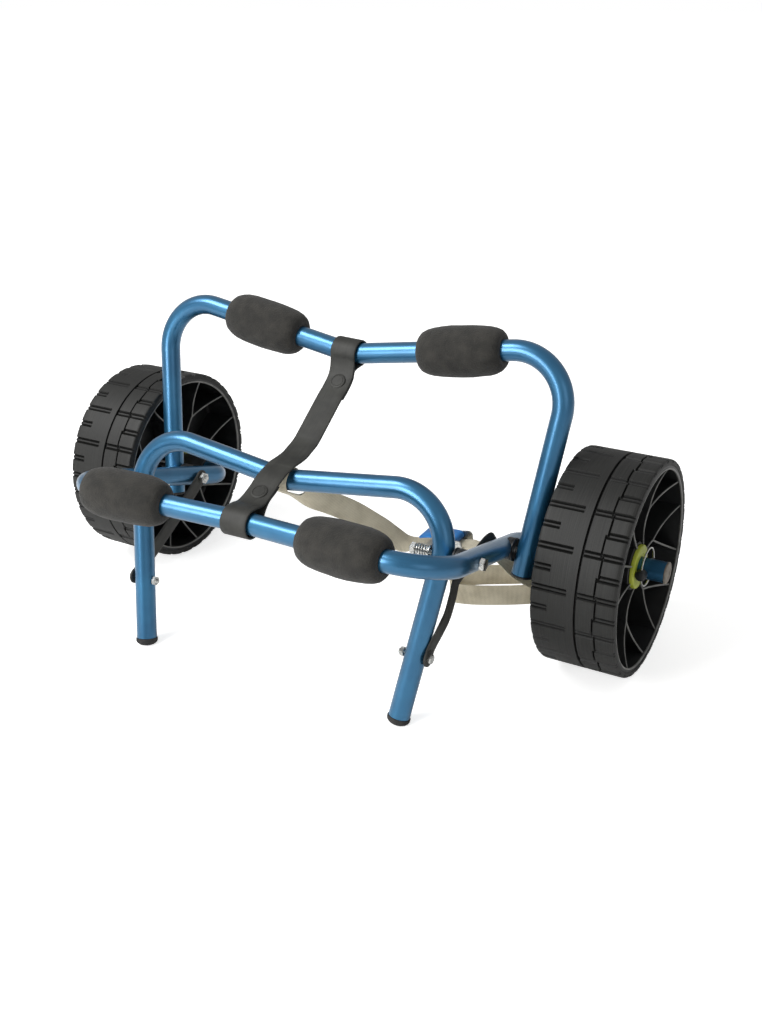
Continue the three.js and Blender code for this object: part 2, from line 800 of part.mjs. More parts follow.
function limitStrap(shares) {
  const lower = limitBolt.clone().setX(lowerTabMiddle);
  const upper = rearPivot.clone().setX(upperTabMiddle);
  const span = upper.clone().sub(lower);
  const route = shares.map(([x, y, z]) => span.clone().multiply(new THREE.Vector3(x, y, z)).add(lower));
  const points = [lower, ...route, upper];
  const sideways = new THREE.Vector3(1, 0, 0);
  const knots = points.map((point, i) => {
    const before = points[Math.max(i - 1, 0)];
    const after = points[Math.min(i + 1, points.length - 1)];
    return { point, width: after.clone().sub(before).cross(sideways).normalize() };
  });
  const strip = solidFrom(
    bandAlong(strapStations(smoothRun(knots, limitStrapSteps)), limitStrapWidth, limitStrapThickness),
  );
  const tab = (centre) => {
    const disc = rod(limitStrapWidth / 2, -limitStrapThickness / 2, limitStrapThickness / 2, roundSides);
    return solidFrom(disc.translate(centre.x, centre.y, centre.z));
  };
  const holeAt = (centre, radius) => {
    const reach = limitStrapThickness + cutOverrun;
    return solidFrom(rod(radius, -reach, reach, boltSides).translate(centre.x, centre.y, centre.z));
  };
  const whole = joinAll([strip, tab(lower), tab(upper)]);
  return geometryFrom(cutAll(whole, [holeAt(lower, limitHole), holeAt(upper, pivotHole)]));
}

sides.forEach(({ side, word }) => {
  const shares = word === 'left' ? leftLimitShares : rightLimitShares;
  const mesh = addPiece(cart, `${word}_limit_strap`, limitStrap(shares), strapRubber);
  mesh.scale.x = side;
});

// Centre strap: looped round the rear bunk's bar and the main bar, lying over the kickstand's bar.
const loopShare = 0.5;
const strapAcross = (dipShare) => ({ place: centreStrapPlace, width: centreStrapWidth, dipShare });
const rearBar = barAt(rearFrame, rearBarHalf, rearLegLength, rearBarDrop, strapAcross(loopShare));
const kickBar = barAt(kickFrame, kickBarHalf, kickLegLength, kickBarDrop, strapAcross(0));
const mainBar = barAt(mainFrame, mainBarHalf, mainLegLength, mainBarDrop, strapAcross(loopShare));
const strapLoopRadius = tubeRadius + centreStrapSlack + centreStrapThickness / 2;
const webbingLoopRadius = tubeRadius + layerGap + webbingThickness / 2;
const strapOverRadius = webbingLoopRadius + webbingThickness / 2 + layerGap + centreStrapThickness / 2;

// Places in the cart's side view, each as shares of the strap loop's radius back and up from a bar.
const rearFoldShares = [
  [-1.12, -0.95],
  [-1.4, -1.5],
  [-2.15, -2.12],
];
const rearSagShares = [
  [-2.9, -2.57],
  [-4.4, -3.56],
  [-5.9, -4.57],
];
const beforeKickBarShares = [
  [3, 1.6],
  [1.5, 1.12],
];
const mainFoldShares = [
  [4.1, 1.98],
  [3.25, 1.63],
  [2.85, 1.42],
  [1.93, 1.04],
  [1.2, 0.88],
  [0.5, 0.99],
];
const behindMainBarShares = [
  [1.22, 0],
  [1.5, 0.42],
];
const layerStep = centreStrapThickness + foldGap;

function besideBar(bar, places) {
  return places.map(([back, up]) => {
    const shift = new THREE.Vector3(0, back, up).multiplyScalar(strapLoopRadius);
    return { point: bar.point.clone().add(shift), width: bar.width };
  });
}

// The layer that lies under a run of the strap, against its inner face.
function layerUnder(run) {
  return strapStations(run).map(({ point, tangent, across }) => {
    const under = across.clone().cross(tangent);
    return { point: point.clone().addScaledVector(under, layerStep), width: across };
  });
}

const rearSag = [...besideBar(rearBar, rearSagShares), ...besideBar(kickBar, beforeKickBarShares)];
const rearRun = [...besideBar(rearBar, rearFoldShares), ...smoothRun(rearSag, 9)];
const mainRun = besideBar(mainBar, mainFoldShares);

// A snap's button along Z: its cap on the strap, its shank through both layers, its stud beneath.
function snapButton() {
  const top = centreStrapThickness / 2 + snapHeight;
  const bottom = -layerStep - centreStrapThickness / 2 - snapHeight;
  return revolvedFull(
    [
      [0, bottom],
      [snapStudRadius, bottom],
      [snapStudRadius, 0],
      [snapRadius, 0],
      [snapRadius * snapCrownShare, top],
      [0, top],
    ],
    roundSides,
  ).rotateY(-Math.PI / 2);
}

// A snap sits on the middle of one straight step of a run.
function snapOn(run, step) {
  const from = run[step].point;
  const to = run[step + 1].point;
  const along = to.clone().sub(from).normalize();
  const above = along.clone().cross(run[step].width).normalize();
  const across = above.clone().cross(along).negate();
  const middle = from.clone().add(to).multiplyScalar(0.5);
  const place = new THREE.Matrix4().makeBasis(across, along, above).setPosition(middle);
  return solidFrom(snapButton().applyMatrix4(place));
}

function centreStrap() {
  const upperTail = layerUnder(rearRun.slice(0, 4)).toReversed();
  const underLayer = layerUnder(mainRun.slice(1, 4)).toReversed();
  const lowerTail = [...besideBar(mainBar, behindMainBarShares), ...underLayer];
  const path = [
    ...upperTail,
    ...arcRound(rearBar.point, rearBar.width, strapLoopRadius, -57, 193, 12),
    ...rearRun,
    ...arcRound(kickBar.point, kickBar.width, strapOverRadius, 84, 112, 3),
    ...mainRun,
    ...arcRound(mainBar.point, mainBar.width, strapLoopRadius, 96, 335, 12),
    ...lowerTail,
  ];
  const band = solidFrom(bandAlong(strapStations(path), centreStrapWidth, centreStrapThickness));
  return joinAll([band, snapOn(rearRun, 1), snapOn(mainRun, 2)]);
}

addPiece(cart, 'centre_strap', geometryFrom(centreStrap()), strapRubber);

// Wheels: a moulded body with a web, forked ribs and a rim, inside a tread ring

const rimOuter = wheelRadius - tyreThickness - seatGap;
const rimInner = rimOuter - rimThickness;
const halfWidth = wheelWidth / 2;

// The free edge of the ribs is dished: lowest part way out, highest at the rim.
function ribHalfWidth(radius) {
  const share = (radius - ribLowRadius) / (rimInner - ribLowRadius);
  return ribLowHalfWidth + (halfWidth - ribRimStep - ribLowHalfWidth) * share * share;
}

// A flat rib between two points of the wheel's plane, as wide at its ends as the dish there.
function ribPlate(from, to) {
  const heading = to.clone().sub(from);
  const length = heading.length();
  const nearHalf = ribHalfWidth(from.length());
  const farHalf = ribHalfWidth(to.length());
  const outline = [
    new THREE.Vector2(0, -nearHalf),
    new THREE.Vector2(length, -farHalf),
    new THREE.Vector2(length, farHalf),
    new THREE.Vector2(0, nearHalf),
  ];
  const plate = new THREE.ExtrudeGeometry(new THREE.Shape(outline), {
    depth: ribThickness,
    bevelEnabled: false,
  }).translate(0, 0, -ribThickness / 2);
  const along = new THREE.Vector3(0, heading.x, heading.y).normalize();
  const wide = new THREE.Vector3(1, 0, 0);
  const basis = new THREE.Matrix4().makeBasis(along, wide, along.clone().cross(wide));
  return solidFrom(plate.applyMatrix4(basis.setPosition(0, from.x, from.y)));
}

function onWheel(radius, degrees) {
  return new THREE.Vector2(radius * Math.cos(radians(degrees)), radius * Math.sin(radians(degrees)));
}

function wheelBody() {
  const hubBore = bushSleeveRadius + seatGap;
  const bossFace = hubFace - bushFlangeThickness - seatGap;
  const webFace = webThickness / 2;
  const ring = solidFrom(
    revolved(
      [
        [hubBore, -bossFace],
        [hubBossRadius, -bossFace],
        [hubBossRadius, -webFace],
        [rimInner, -webFace],
        [rimInner, -halfWidth],
        [rimOuter, -halfWidth],
        [rimOuter, halfWidth],
        [rimInner, halfWidth],
        [rimInner, webFace],
        [hubBossRadius, webFace],
        [hubBossRadius, bossFace],
        [hubBore, bossFace],
      ],
      wheelSides,
    ),
  );
  const rootRadius = bushFlangeRadius + 2 * seatGap;
  const rimRadius = (rimInner + rimOuter) / 2;
  const ribs = [];
  for (let i = 0; i < ribCount; i += 1) {
    const degrees = ribTurnDegrees + (360 * i) / ribCount;
    const fork = onWheel(ribForkRadius, degrees);
    ribs.push(ribPlate(onWheel(rootRadius, degrees), fork));
    ribs.push(ribPlate(fork, onWheel(rimRadius, degrees + ribArmSpreadDegrees)));
    ribs.push(ribPlate(fork, onWheel(rimRadius, degrees - ribArmSpreadDegrees)));
  }
  return geometryFrom(joinAll([ring, ...ribs]));
}

// Tread bands across the tyre from its -X edge, as shares of its width.
const wideBandShare = 0.43;
const firstRingShares = [0.53, 0.55];
const secondRingShares = [0.75, 0.775];
const acrossTyre = (share) => -halfWidth + share * wheelWidth;

function treadGroove(fromShare, toShare, degrees) {
  const from = fromShare > 0 ? acrossTyre(fromShare) : -halfWidth - cutOverrun;
  const to = toShare < 1 ? acrossTyre(toShare) : halfWidth + cutOverrun;
  const tall = grooveDepth + cutOverrun;
  const cutter = new THREE.BoxGeometry(to - from, grooveWidth, tall);
  cutter.translate((from + to) / 2, 0, wheelRadius - grooveDepth + tall / 2);
  return solidFrom(cutter.rotateX(radians(degrees)));
}

function tyre() {
  const tyreInner = wheelRadius - tyreThickness;
  const floor = wheelRadius - grooveDepth;
  const ringGroove = ([from, to]) => [
    [wheelRadius, acrossTyre(from)],
    [floor, acrossTyre(from)],
    [floor, acrossTyre(to)],
    [wheelRadius, acrossTyre(to)],
  ];
  const ring = solidFrom(
    revolved(
      [
        [tyreInner, -halfWidth],
        [wheelRadius, -halfWidth],
        ...ringGroove(firstRingShares),
        ...ringGroove(secondRingShares),
        [wheelRadius, halfWidth],
        [tyreInner, halfWidth],
      ],
      wheelSides,
    ),
  );
  const grooves = [];
  for (let i = 0; i < treadPitchCount; i += 1) {
    const pitch = 360 / treadPitchCount;
    const degrees = treadPhaseDegrees + pitch * i;
    grooves.push(treadGroove(0, wideBandShare, degrees));
    grooves.push(treadGroove(firstRingShares[0], 1, degrees));
    grooves.push(treadGroove(secondRingShares[1], 1, degrees + pitch / 2));
  }
  return geometryFrom(cutAll(ring, grooves));
}

// A flanged bush: its sleeve runs from the flange towards -X into the hub.
function hubBush() {
  const bore = tubeRadius + runningGap;
  const flangeFrom = hubFace - bushFlangeThickness;
  return revolved(
    [
      [bore, flangeFrom - bushSleeveLength],
      [bushSleeveRadius, flangeFrom - bushSleeveLength],
      [bushSleeveRadius, flangeFrom],
      [bushFlangeRadius, flangeFrom],
      [bushFlangeRadius, hubFace - bushChamfer],
      [bushFlangeRadius - bushChamfer, hubFace],
      [bore, hubFace],
    ],
    roundSides,
  );
}

// The sleeve that keeps the wheel off the bend of the tube.
function spacerSleeve() {
  const inner = tubeRadius + runningGap;
  const from = axleBendEnd + seatGap;
  return washer(inner + spacerSleeveWall, inner, from, from + spacerSleeveLength);
}

// A pin along Y through the axle, its head to the front with a cross hole for the ring.
function retainingPin() {
  const ringFront = ringOffset - ringRadius;
  const headMiddle = ringFront;
  const tip = ringOffset + ringRadius - ringWire / 2 - seatGap;
  const alongY = (radius, from, to, sideCount) =>
    solidFrom(rod(radius, from, to, sideCount).rotateZ(Math.PI / 2));
  const headHalf = pinHeadLength / 2;
  const head = alongY(pinHeadRadius, headMiddle - headHalf, headMiddle + headHalf, roundSides);
  const shank = alongY(pinDiameter / 2, headMiddle, tip, boltSides);
  const reach = pinHeadRadius + cutOverrun;
  const sag = ringRadius - Math.sqrt(ringRadius ** 2 - pinHeadRadius ** 2);
  const holeRadius = ringWire / 2 + sag + 2 * seatGap;
  const hole = new THREE.CylinderGeometry(holeRadius, holeRadius, 2 * reach, boltSides)
    .rotateX(Math.PI / 2)
    .translate(0, ringFront, 0);
  return geometryFrom(head.add(shank).subtract(solidFrom(hole)));
}

function wireRing() {
  return new THREE.TorusGeometry(ringRadius, ringWire / 2, wireSides, ringSteps)
    .rotateY(Math.PI / 2)
    .translate(0, ringOffset, 0);
}

const wheelBodyGeometry = wheelBody();
const tyreGeometry = tyre();
sides.forEach(({ side, word }) => {
  const axleLine = new THREE.Group();
  axleLine.position.z = axleHeight;
  cart.add(axleLine);
  const wheelParts = [
    addPiece(axleLine, `${word}_wheel_body`, wheelBodyGeometry, wheelPlastic),
    addPiece(axleLine, `${word}_tyre`, tyreGeometry, tyreRubber),
    addPiece(axleLine, `${word}_outer_bush`, hubBush().scale(side, side, 1), limePlastic),
    addPiece(axleLine, `${word}_inner_bush`, hubBush().scale(-side, -side, 1), limePlastic),
  ];
  wheelParts.forEach((mesh) => mesh.position.setX(side * wheelMiddle));
  addPiece(axleLine, `${word}_axle_spacer`, spacerSleeve().scale(side, side, 1), blackPlastic);
  addPiece(axleLine, `${word}_retaining_pin`, retainingPin(), blackPlastic).position.setX(side * pinPlace);
  addPiece(axleLine, `${word}_pin_ring`, wireRing(), zincSteel).position.setX(side * pinPlace);
});

// Cam buckle, drawn along X with its base plate at the bottom

const buckle = new THREE.Group();
buckle.position.set(...bucklePlace);
buckle.rotation.y = -radians(buckleTiltDegrees);
buckle.updateMatrix();
cart.add(buckle);

const stripHeight = buckleWall / 2 + seatGap + webbingThickness / 2;
const camHeight = stripHeight + webbingThickness / 2 + seatGap + camRadius;
const cheekInner = buckleWidth / 2 - buckleWall;

// An outline in x and z, given a thickness along Y between two places.
function crosswise(outline, from, to) {
  const slab = new THREE.ExtrudeGeometry(new THREE.Shape(outline), { depth: to - from, bevelEnabled: false });
  return slab.rotateX(Math.PI / 2).translate(0, to, 0);
}

function roundedCheek() {
  const half = buckleCheekLength / 2;
  const round = buckleCheekHeight * cheekRoundShare;
  const shape = new THREE.Shape();
  shape.moveTo(cheekPlace - half, -buckleWall / 2);
  shape.lineTo(cheekPlace + half, -buckleWall / 2);
  shape.lineTo(cheekPlace + half, buckleCheekHeight - round);
  shape.absarc(cheekPlace + half - round, buckleCheekHeight - round, round, 0, Math.PI / 2, false);
  shape.lineTo(cheekPlace - half, buckleWall);
  return shape.getPoints(4);
}

function buckleBody() {
  const base = new THREE.BoxGeometry(buckleLength, buckleWidth, buckleWall);
  const cheek = roundedCheek();
  const pinBore = rod(holeFor(leverPinRadius), -buckleWidth, buckleWidth, boltSides)
    .rotateZ(Math.PI / 2)
    .translate(leverPinPlace, 0, camHeight);
  const whole = joinAll([
    solidFrom(base),
    solidFrom(crosswise(cheek, cheekInner, cheekInner + buckleWall)),
    solidFrom(crosswise(cheek, -cheekInner - buckleWall, -cheekInner)),
  ]);
  return geometryFrom(whole.subtract(solidFrom(pinBore)));
}

function camLever() {
  const half = cheekInner - seatGap;
  const cam = rod(camRadius, -half, half, roundSides)
    .rotateZ(Math.PI / 2)
    .translate(leverPinPlace, 0, camHeight);
  const top = camHeight + camRadius;
  const tip = leverPinPlace - leverReach;
  const crest = tip + leverReach * leverCrestShare;
  const arm = [
    new THREE.Vector2(leverPinPlace, top - leverThickness),
    new THREE.Vector2(leverPinPlace, top),
    new THREE.Vector2(crest, top + leverRise),
    new THREE.Vector2(tip, top + leverRise / 2),
    new THREE.Vector2(tip, top + leverRise / 2 - leverThickness),
    new THREE.Vector2(crest, top + leverRise - leverThickness),
  ].toReversed();
  const hole = rod(holeFor(leverPinRadius), -buckleWidth, buckleWidth, boltSides)
    .rotateZ(Math.PI / 2)
    .translate(leverPinPlace, 0, camHeight);
  return geometryFrom(solidFrom(cam).add(solidFrom(crosswise(arm, -half, half))).subtract(solidFrom(hole)));
}

const leverPin = rod(leverPinRadius, -buckleWidth / 2 - seatGap, buckleWidth / 2 + seatGap, boltSides)
  .rotateZ(Math.PI / 2)
  .translate(leverPinPlace, 0, camHeight);
addPiece(buckle, 'buckle_body', buckleBody(), zincSteel);
addPiece(buckle, 'cam_lever', camLever(), bluePlastic);
addPiece(buckle, 'lever_pin', leverPin, zincSteel);

// Tie-down webbing: sewn round the kickstand's bar, through the cam buckle, its tail in a flat hank

// The route's free points and width directions, chosen by hand along the photographed run.
const webbingRun = [
  [-12, -160, 210.5, 1, 0.05, 0.05],
  [14, -142, 201, 0.5, 0.5, 0.7],
  [46, -112, 179, 0.24, 0.57, 0.79],
  [71, -86, 151, 0.24, 0.7, 0.6],
  [94, -62, 125, 0.1, 0.95, 0.2],
];
const webbingTail = [
  [204, -45, 131, 0, 0.97, -0.2],
  [232, -30, 106, -0.1, 0.75, 0.6],
  [256, -6, 85, 0, 0.3, 0.95],
  [267, 18, 76, 0, 0, 1],
  [262, 36, 73, 0, 0, 1],
  [248, 38, 72, 0, 0, 1],
  [204, 17, 70, 0, 0, 1],
  [162, -4, 68, 0, 0, 1],
  [148, -11, 65, 0, 0, 1],
  [140, -18, 61, 0, 0, 1],
  [139, -26, 57, 0, 0, 1],
  [146, -32, 53, 0, 0, 1],
  [160, -28, 50, 0, 0, 1],
  [205, -5, 47, 0, 0, 1],
  [250, 18, 49, 0, 0, 1],
];
const webbingSewnEnd = [
  [-15, -141, 210, 1, -0.04, -0.12],
  [-16, -152, 222, 1, -0.04, -0.12],
];

function knot([x, y, z, widthX, widthY, widthZ]) {
  return { point: new THREE.Vector3(x, y, z), width: new THREE.Vector3(widthX, widthY, widthZ).normalize() };
}

function tieDownWebbing() {
  const crossing = { place: webbingPlace, width: webbingWidth, dipShare: 0 };
  const bar = barAt(kickFrame, kickBarHalf, kickLegLength, kickBarDrop, crossing);
  const inBuckle = (along) => ({
    point: new THREE.Vector3(along, 0, stripHeight).applyMatrix4(buckle.matrix),
    width: new THREE.Vector3(0, 1, 0),
  });
  const half = buckleLength / 2;
  const loop = arcRound(bar.point, bar.width, webbingLoopRadius, 20, 232, 10);
  const path = [
    ...smoothRun([...webbingSewnEnd.map(knot), loop[0]], 4).slice(0, -1),
    ...loop,
    ...smoothRun([loop.at(-1), ...webbingRun.map(knot), inBuckle(-half)], 16).slice(1),
    ...smoothRun([inBuckle(half), ...webbingTail.map(knot)], 36),
  ];
  return bandAlong(strapStations(path), webbingWidth, webbingThickness);
}

addPiece(cart, 'tie_down_webbing', tieDownWebbing(), webbingCloth);

// The cart stands over the origin, centred front to back.
const bounds = new THREE.Box3().setFromObject(cart, true);
cart.position.y = -(bounds.min.y + bounds.max.y) / 2;

export default cart;
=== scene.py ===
# A folding kayak cart: three nested U frames of blue tube on two airless wheels.
# Metres, +Z up, +X along the axle, +Y to the rear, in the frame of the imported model.
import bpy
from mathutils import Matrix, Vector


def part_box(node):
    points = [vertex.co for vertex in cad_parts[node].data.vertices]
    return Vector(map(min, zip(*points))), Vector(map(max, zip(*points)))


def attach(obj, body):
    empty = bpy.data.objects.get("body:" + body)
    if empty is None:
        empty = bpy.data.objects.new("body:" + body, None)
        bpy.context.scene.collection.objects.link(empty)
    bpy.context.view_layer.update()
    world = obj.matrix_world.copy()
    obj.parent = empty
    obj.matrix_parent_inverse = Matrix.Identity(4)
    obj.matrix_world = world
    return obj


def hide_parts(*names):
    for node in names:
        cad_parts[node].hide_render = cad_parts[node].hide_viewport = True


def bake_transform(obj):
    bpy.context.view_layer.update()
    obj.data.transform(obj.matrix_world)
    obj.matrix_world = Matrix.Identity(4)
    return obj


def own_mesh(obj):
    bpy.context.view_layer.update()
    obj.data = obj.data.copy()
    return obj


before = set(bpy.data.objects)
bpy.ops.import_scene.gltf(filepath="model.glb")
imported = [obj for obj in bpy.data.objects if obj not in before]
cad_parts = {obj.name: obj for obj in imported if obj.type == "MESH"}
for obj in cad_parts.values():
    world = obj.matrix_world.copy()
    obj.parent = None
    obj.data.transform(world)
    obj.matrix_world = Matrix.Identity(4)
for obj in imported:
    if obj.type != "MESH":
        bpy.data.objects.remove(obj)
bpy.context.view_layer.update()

import math

import bmesh
import bpy
from mathutils import Matrix, Vector, noise

# Studio: a white sweep of paper under a large soft box at the upper left, a tall strip at the left
# front that draws the bright line along the tubes, and a weak fill.
# Lengths are written in millimetres from the axle's foot on the ground and turned to metres here.
MM = 0.001
tyre_low, tyre_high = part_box("right_tyre")
axle_y = (tyre_low.y + tyre_high.y) / 2


def in_metres(point):
    return Vector((point[0] * MM, point[1] * MM + axle_y, point[2] * MM))


def linear(colour):
    """The linear RGBA of an sRGB hex colour."""
    shares = [int(colour[i:i + 2], 16) / 255 for i in (1, 3, 5)]
    return [s / 12.92 if s <= 0.04045 else ((s + 0.055) / 1.055) ** 2.4 for s in shares] + [1.0]


def add_node(tree, kind, settings=None, links=None):
    """Adds a node, sets its properties and sockets, and joins its inputs to other nodes' outputs."""
    node = tree.nodes.new(kind)
    for key, value in (settings or {}).items():
        if key == "stops":
            ramp = node.color_ramp.elements
            while len(ramp) < len(value):
                ramp.new(0.5)
            for stop, (position, colour) in zip(ramp, value):
                stop.position = position
                stop.color = colour
        elif isinstance(key, str) and hasattr(node, key):
            setattr(node, key, value)
        else:
            node.inputs[key].default_value = value
    for key, source in (links or {}).items():
        tree.links.new(source, node.inputs[key])
    return node


scene = bpy.context.scene
scene.view_settings.view_transform = "Standard"

LENS = 42.17
SENSOR_WIDTH = 36
CAMERA_PLACE = (718.0, -1210.3, 791.0)
CAMERA_TURN = 29.8
CAMERA_DOWN = 25.33
CAMERA_LEAN = -1.09
AMBIENT_STRENGTH = 0.42
FLOOR_LIFT = 0.64
FLOOR_REACH = 14
camera_data = bpy.data.cameras.new("photo_camera")
camera_data.lens = LENS
camera_data.sensor_width = SENSOR_WIDTH
camera = bpy.data.objects.new("photo_camera", camera_data)
turn = Matrix.Rotation(math.radians(CAMERA_TURN), 4, "Z")
look_down = Matrix.Rotation(math.radians(90 - CAMERA_DOWN), 4, "X")
lean = Matrix.Rotation(math.radians(CAMERA_LEAN), 4, "Z")
camera.matrix_world = Matrix.Translation(in_metres(CAMERA_PLACE)) @ turn @ look_down @ lean
scene.collection.objects.link(camera)
scene.camera = camera

world = bpy.data.worlds.new("white_studio")
scene.world = world
world.use_nodes = True
air = world.node_tree
air.nodes.clear()
seen = add_node(air, "ShaderNodeLightPath")
seen_at_all = add_node(air, "ShaderNodeMath", {"operation": "MAXIMUM"},
                       {0: seen.outputs["Is Camera Ray"], 1: seen.outputs["Is Transmission Ray"]})
ambient = add_node(air, "ShaderNodeBackground", {"Color": (1, 1, 1, 1), "Strength": AMBIENT_STRENGTH})
white = add_node(air, "ShaderNodeBackground", {"Color": (1, 1, 1, 1), "Strength": 1.0})
sky = add_node(air, "ShaderNodeMixShader", None,
               {0: seen_at_all.outputs[0], 1: ambient.outputs[0], 2: white.outputs[0]})
add_node(air, "ShaderNodeOutputWorld", None, {"Surface": sky.outputs[0]})


def soft_box(name, place, aim, size, power):
    light = bpy.data.lights.new(name, "AREA")
    light.shape = "RECTANGLE"
    light.size = size[0]
    light.size_y = size[1]
    light.energy = power
    lamp = bpy.data.objects.new(name, light)
    lamp.location = Vector(place)
    lamp.rotation_euler = (Vector(aim) - Vector(place)).to_track_quat("-Z", "Y").to_euler()
    scene.collection.objects.link(lamp)


soft_box("key_soft_box", (-1.5, -1.2, 2.6), (0, 0, 0.15), (1.0, 1.4), 58)
soft_box("strip_soft_box", (-0.8, -2.2, 1.1), (0, 0, 0.2), (0.7, 1.2), 30)
soft_box("fill_soft_box", (2.6, -1.6, 1.4), (0, 0, 0.2), (1.6, 1.6), 6)

floor_mesh = bpy.data.meshes.new("floor")
corners = [(x * FLOOR_REACH, y * FLOOR_REACH, 0) for x, y in ((-1, -1), (1, -1), (1, 1), (-1, 1))]
floor_mesh.from_pydata(corners, [], [(0, 1, 2, 3)])
floor = bpy.data.objects.new("floor", floor_mesh)
scene.collection.objects.link(floor)
paper = bpy.data.materials.new("white_paper_sweep")
paper.use_nodes = True
sheet = paper.node_tree
sheet.nodes.clear()
matt = add_node(sheet, "ShaderNodeBsdfDiffuse", {"Color": linear("#f7f7f6")})
lift = add_node(sheet, "ShaderNodeEmission", {"Color": (1, 1, 1, 1), "Strength": FLOOR_LIFT})
path = add_node(sheet, "ShaderNodeLightPath")
unlit = add_node(sheet, "ShaderNodeEmission", {"Color": (0, 0, 0, 1), "Strength": 0.0})
lifted = add_node(sheet, "ShaderNodeMixShader", None,
                  {0: path.outputs["Is Camera Ray"], 1: unlit.outputs[0], 2: lift.outputs[0]})
paper_look = add_node(sheet, "ShaderNodeAddShader", None, {0: matt.outputs[0], 1: lifted.outputs[0]})
add_node(sheet, "ShaderNodeOutputMaterial", None, {"Surface": paper_look.outputs[0]})
floor_mesh.materials.append(paper)

# Frame tubes: three U frames of 25 mm aluminium tube, 1.6 mm thick, drawn, bent cold on a former
# and anodised blue. The main frame's ends turn outwards as the stub axles.
TUBE_RADIUS = 12.5
BORE_RADIUS = 10.9
APEX_BEND = 60
AXLE_BEND = 30
MAIN_BEND = 58
REAR_BEND = 59
KICK_BEND = 60
BEND_STEP = math.radians(4)
MAIN_RISE = math.radians(90 - 18.6)
AXLE_HEIGHT = 130
AXLE_CORNER_HALF = 221
AXLE_TUBE_HALF = 402.44
MAIN_BAR_HALF = 249.99
MAIN_LEG = 300
MAIN_BAR_DROP = 25
REAR_PIVOT_ALONG = 69.99
KICK_PIVOT_ALONG = 197.01
REAR_LEAN = math.radians(-13.7)
REAR_BAR_HALF = 285.11
REAR_LEG = 239.6
REAR_BAR_DROP = 44.5
REAR_LEG_TAIL = 27
REAR_LEG_GAP = 4.2
KICK_LEAN = math.radians(-16.1)
KICK_BAR_HALF = 218.21
KICK_LEG = 72.2
KICK_BAR_DROP = 28
KICK_LEG_GAP = 7
FOOT_HEIGHT = 8
PLANE_NORMAL = Vector((0, 1, 0))

main_splay = (MAIN_BAR_HALF - AXLE_CORNER_HALF) / MAIN_LEG


def main_leg_at(along):
    return AXLE_CORNER_HALF + main_splay * along


rear_pivot_half = main_leg_at(REAR_PIVOT_ALONG) + 2 * TUBE_RADIUS + REAR_LEG_GAP
rear_splay = (REAR_BAR_HALF - rear_pivot_half) / REAR_LEG
kick_pivot_half = main_leg_at(KICK_PIVOT_ALONG) - 2 * TUBE_RADIUS - KICK_LEG_GAP
kick_splay = (KICK_BAR_HALF - kick_pivot_half) / KICK_LEG

main_place = Matrix.Translation((0, 0, AXLE_HEIGHT)) @ Matrix.Rotation(MAIN_RISE, 4, "X")
rear_pivot = main_place @ Vector((0, 0, REAR_PIVOT_ALONG))
kick_pivot = main_place @ Vector((0, 0, KICK_PIVOT_ALONG))
rear_place = Matrix.Translation(rear_pivot) @ Matrix.Rotation(REAR_LEAN, 4, "X")
kick_place = Matrix.Translation(kick_pivot) @ Matrix.Rotation(KICK_LEAN, 4, "X")
kick_leg_drop = kick_pivot.z / math.cos(KICK_LEAN) - FOOT_HEIGHT
rear_end_half = rear_pivot_half - rear_splay * REAR_LEG_TAIL
kick_end_half = kick_pivot_half - kick_splay * kick_leg_drop


def bent_line(corners):
    """Points and headings along straight runs with an arc of each corner's radius between them."""
    line = []
    points = [Vector((x, 0, z)) for x, z, radius in corners]
    for i, (corner, (x, z, radius)) in enumerate(zip(points, corners)):
        if i in (0, len(points) - 1):
            other = points[1] if i == 0 else points[-2]
            heading = (other - corner) if i == 0 else (corner - other)
            line.append((corner, heading.normalized()))
            continue
        heading = (corner - points[i - 1]).normalized()
        leaving = (points[i + 1] - corner).normalized()
        bend = heading.angle(leaving)
        axis = heading.cross(leaving).normalized()
        start = corner - heading * radius * math.tan(bend / 2)
        centre = start + axis.cross(heading) * radius
        steps = math.ceil(bend / BEND_STEP)
        for step in range(steps + 1):
            swing = Matrix.Rotation(bend * step / steps, 3, axis)
            line.append((centre + swing @ (start - centre), swing @ heading))
    return line


def both_halves(right_half):
    left_half = [(-x, z, radius) for x, z, radius in right_half[:-1]]
    return left_half + right_half[::-1]


def round_ring(centre, first, second, radius, sides):
    angles = [2 * math.pi * i / sides for i in range(sides)]
    return [centre + first * radius * math.cos(a) + second * radius * math.sin(a) for a in angles]


def tube_rings(line, radius, sides):
    return [round_ring(point, PLANE_NORMAL, heading.cross(PLANE_NORMAL), radius, sides)
            for point, heading in line]


def new_skin():
    return {"points": [], "faces": [], "run": []}


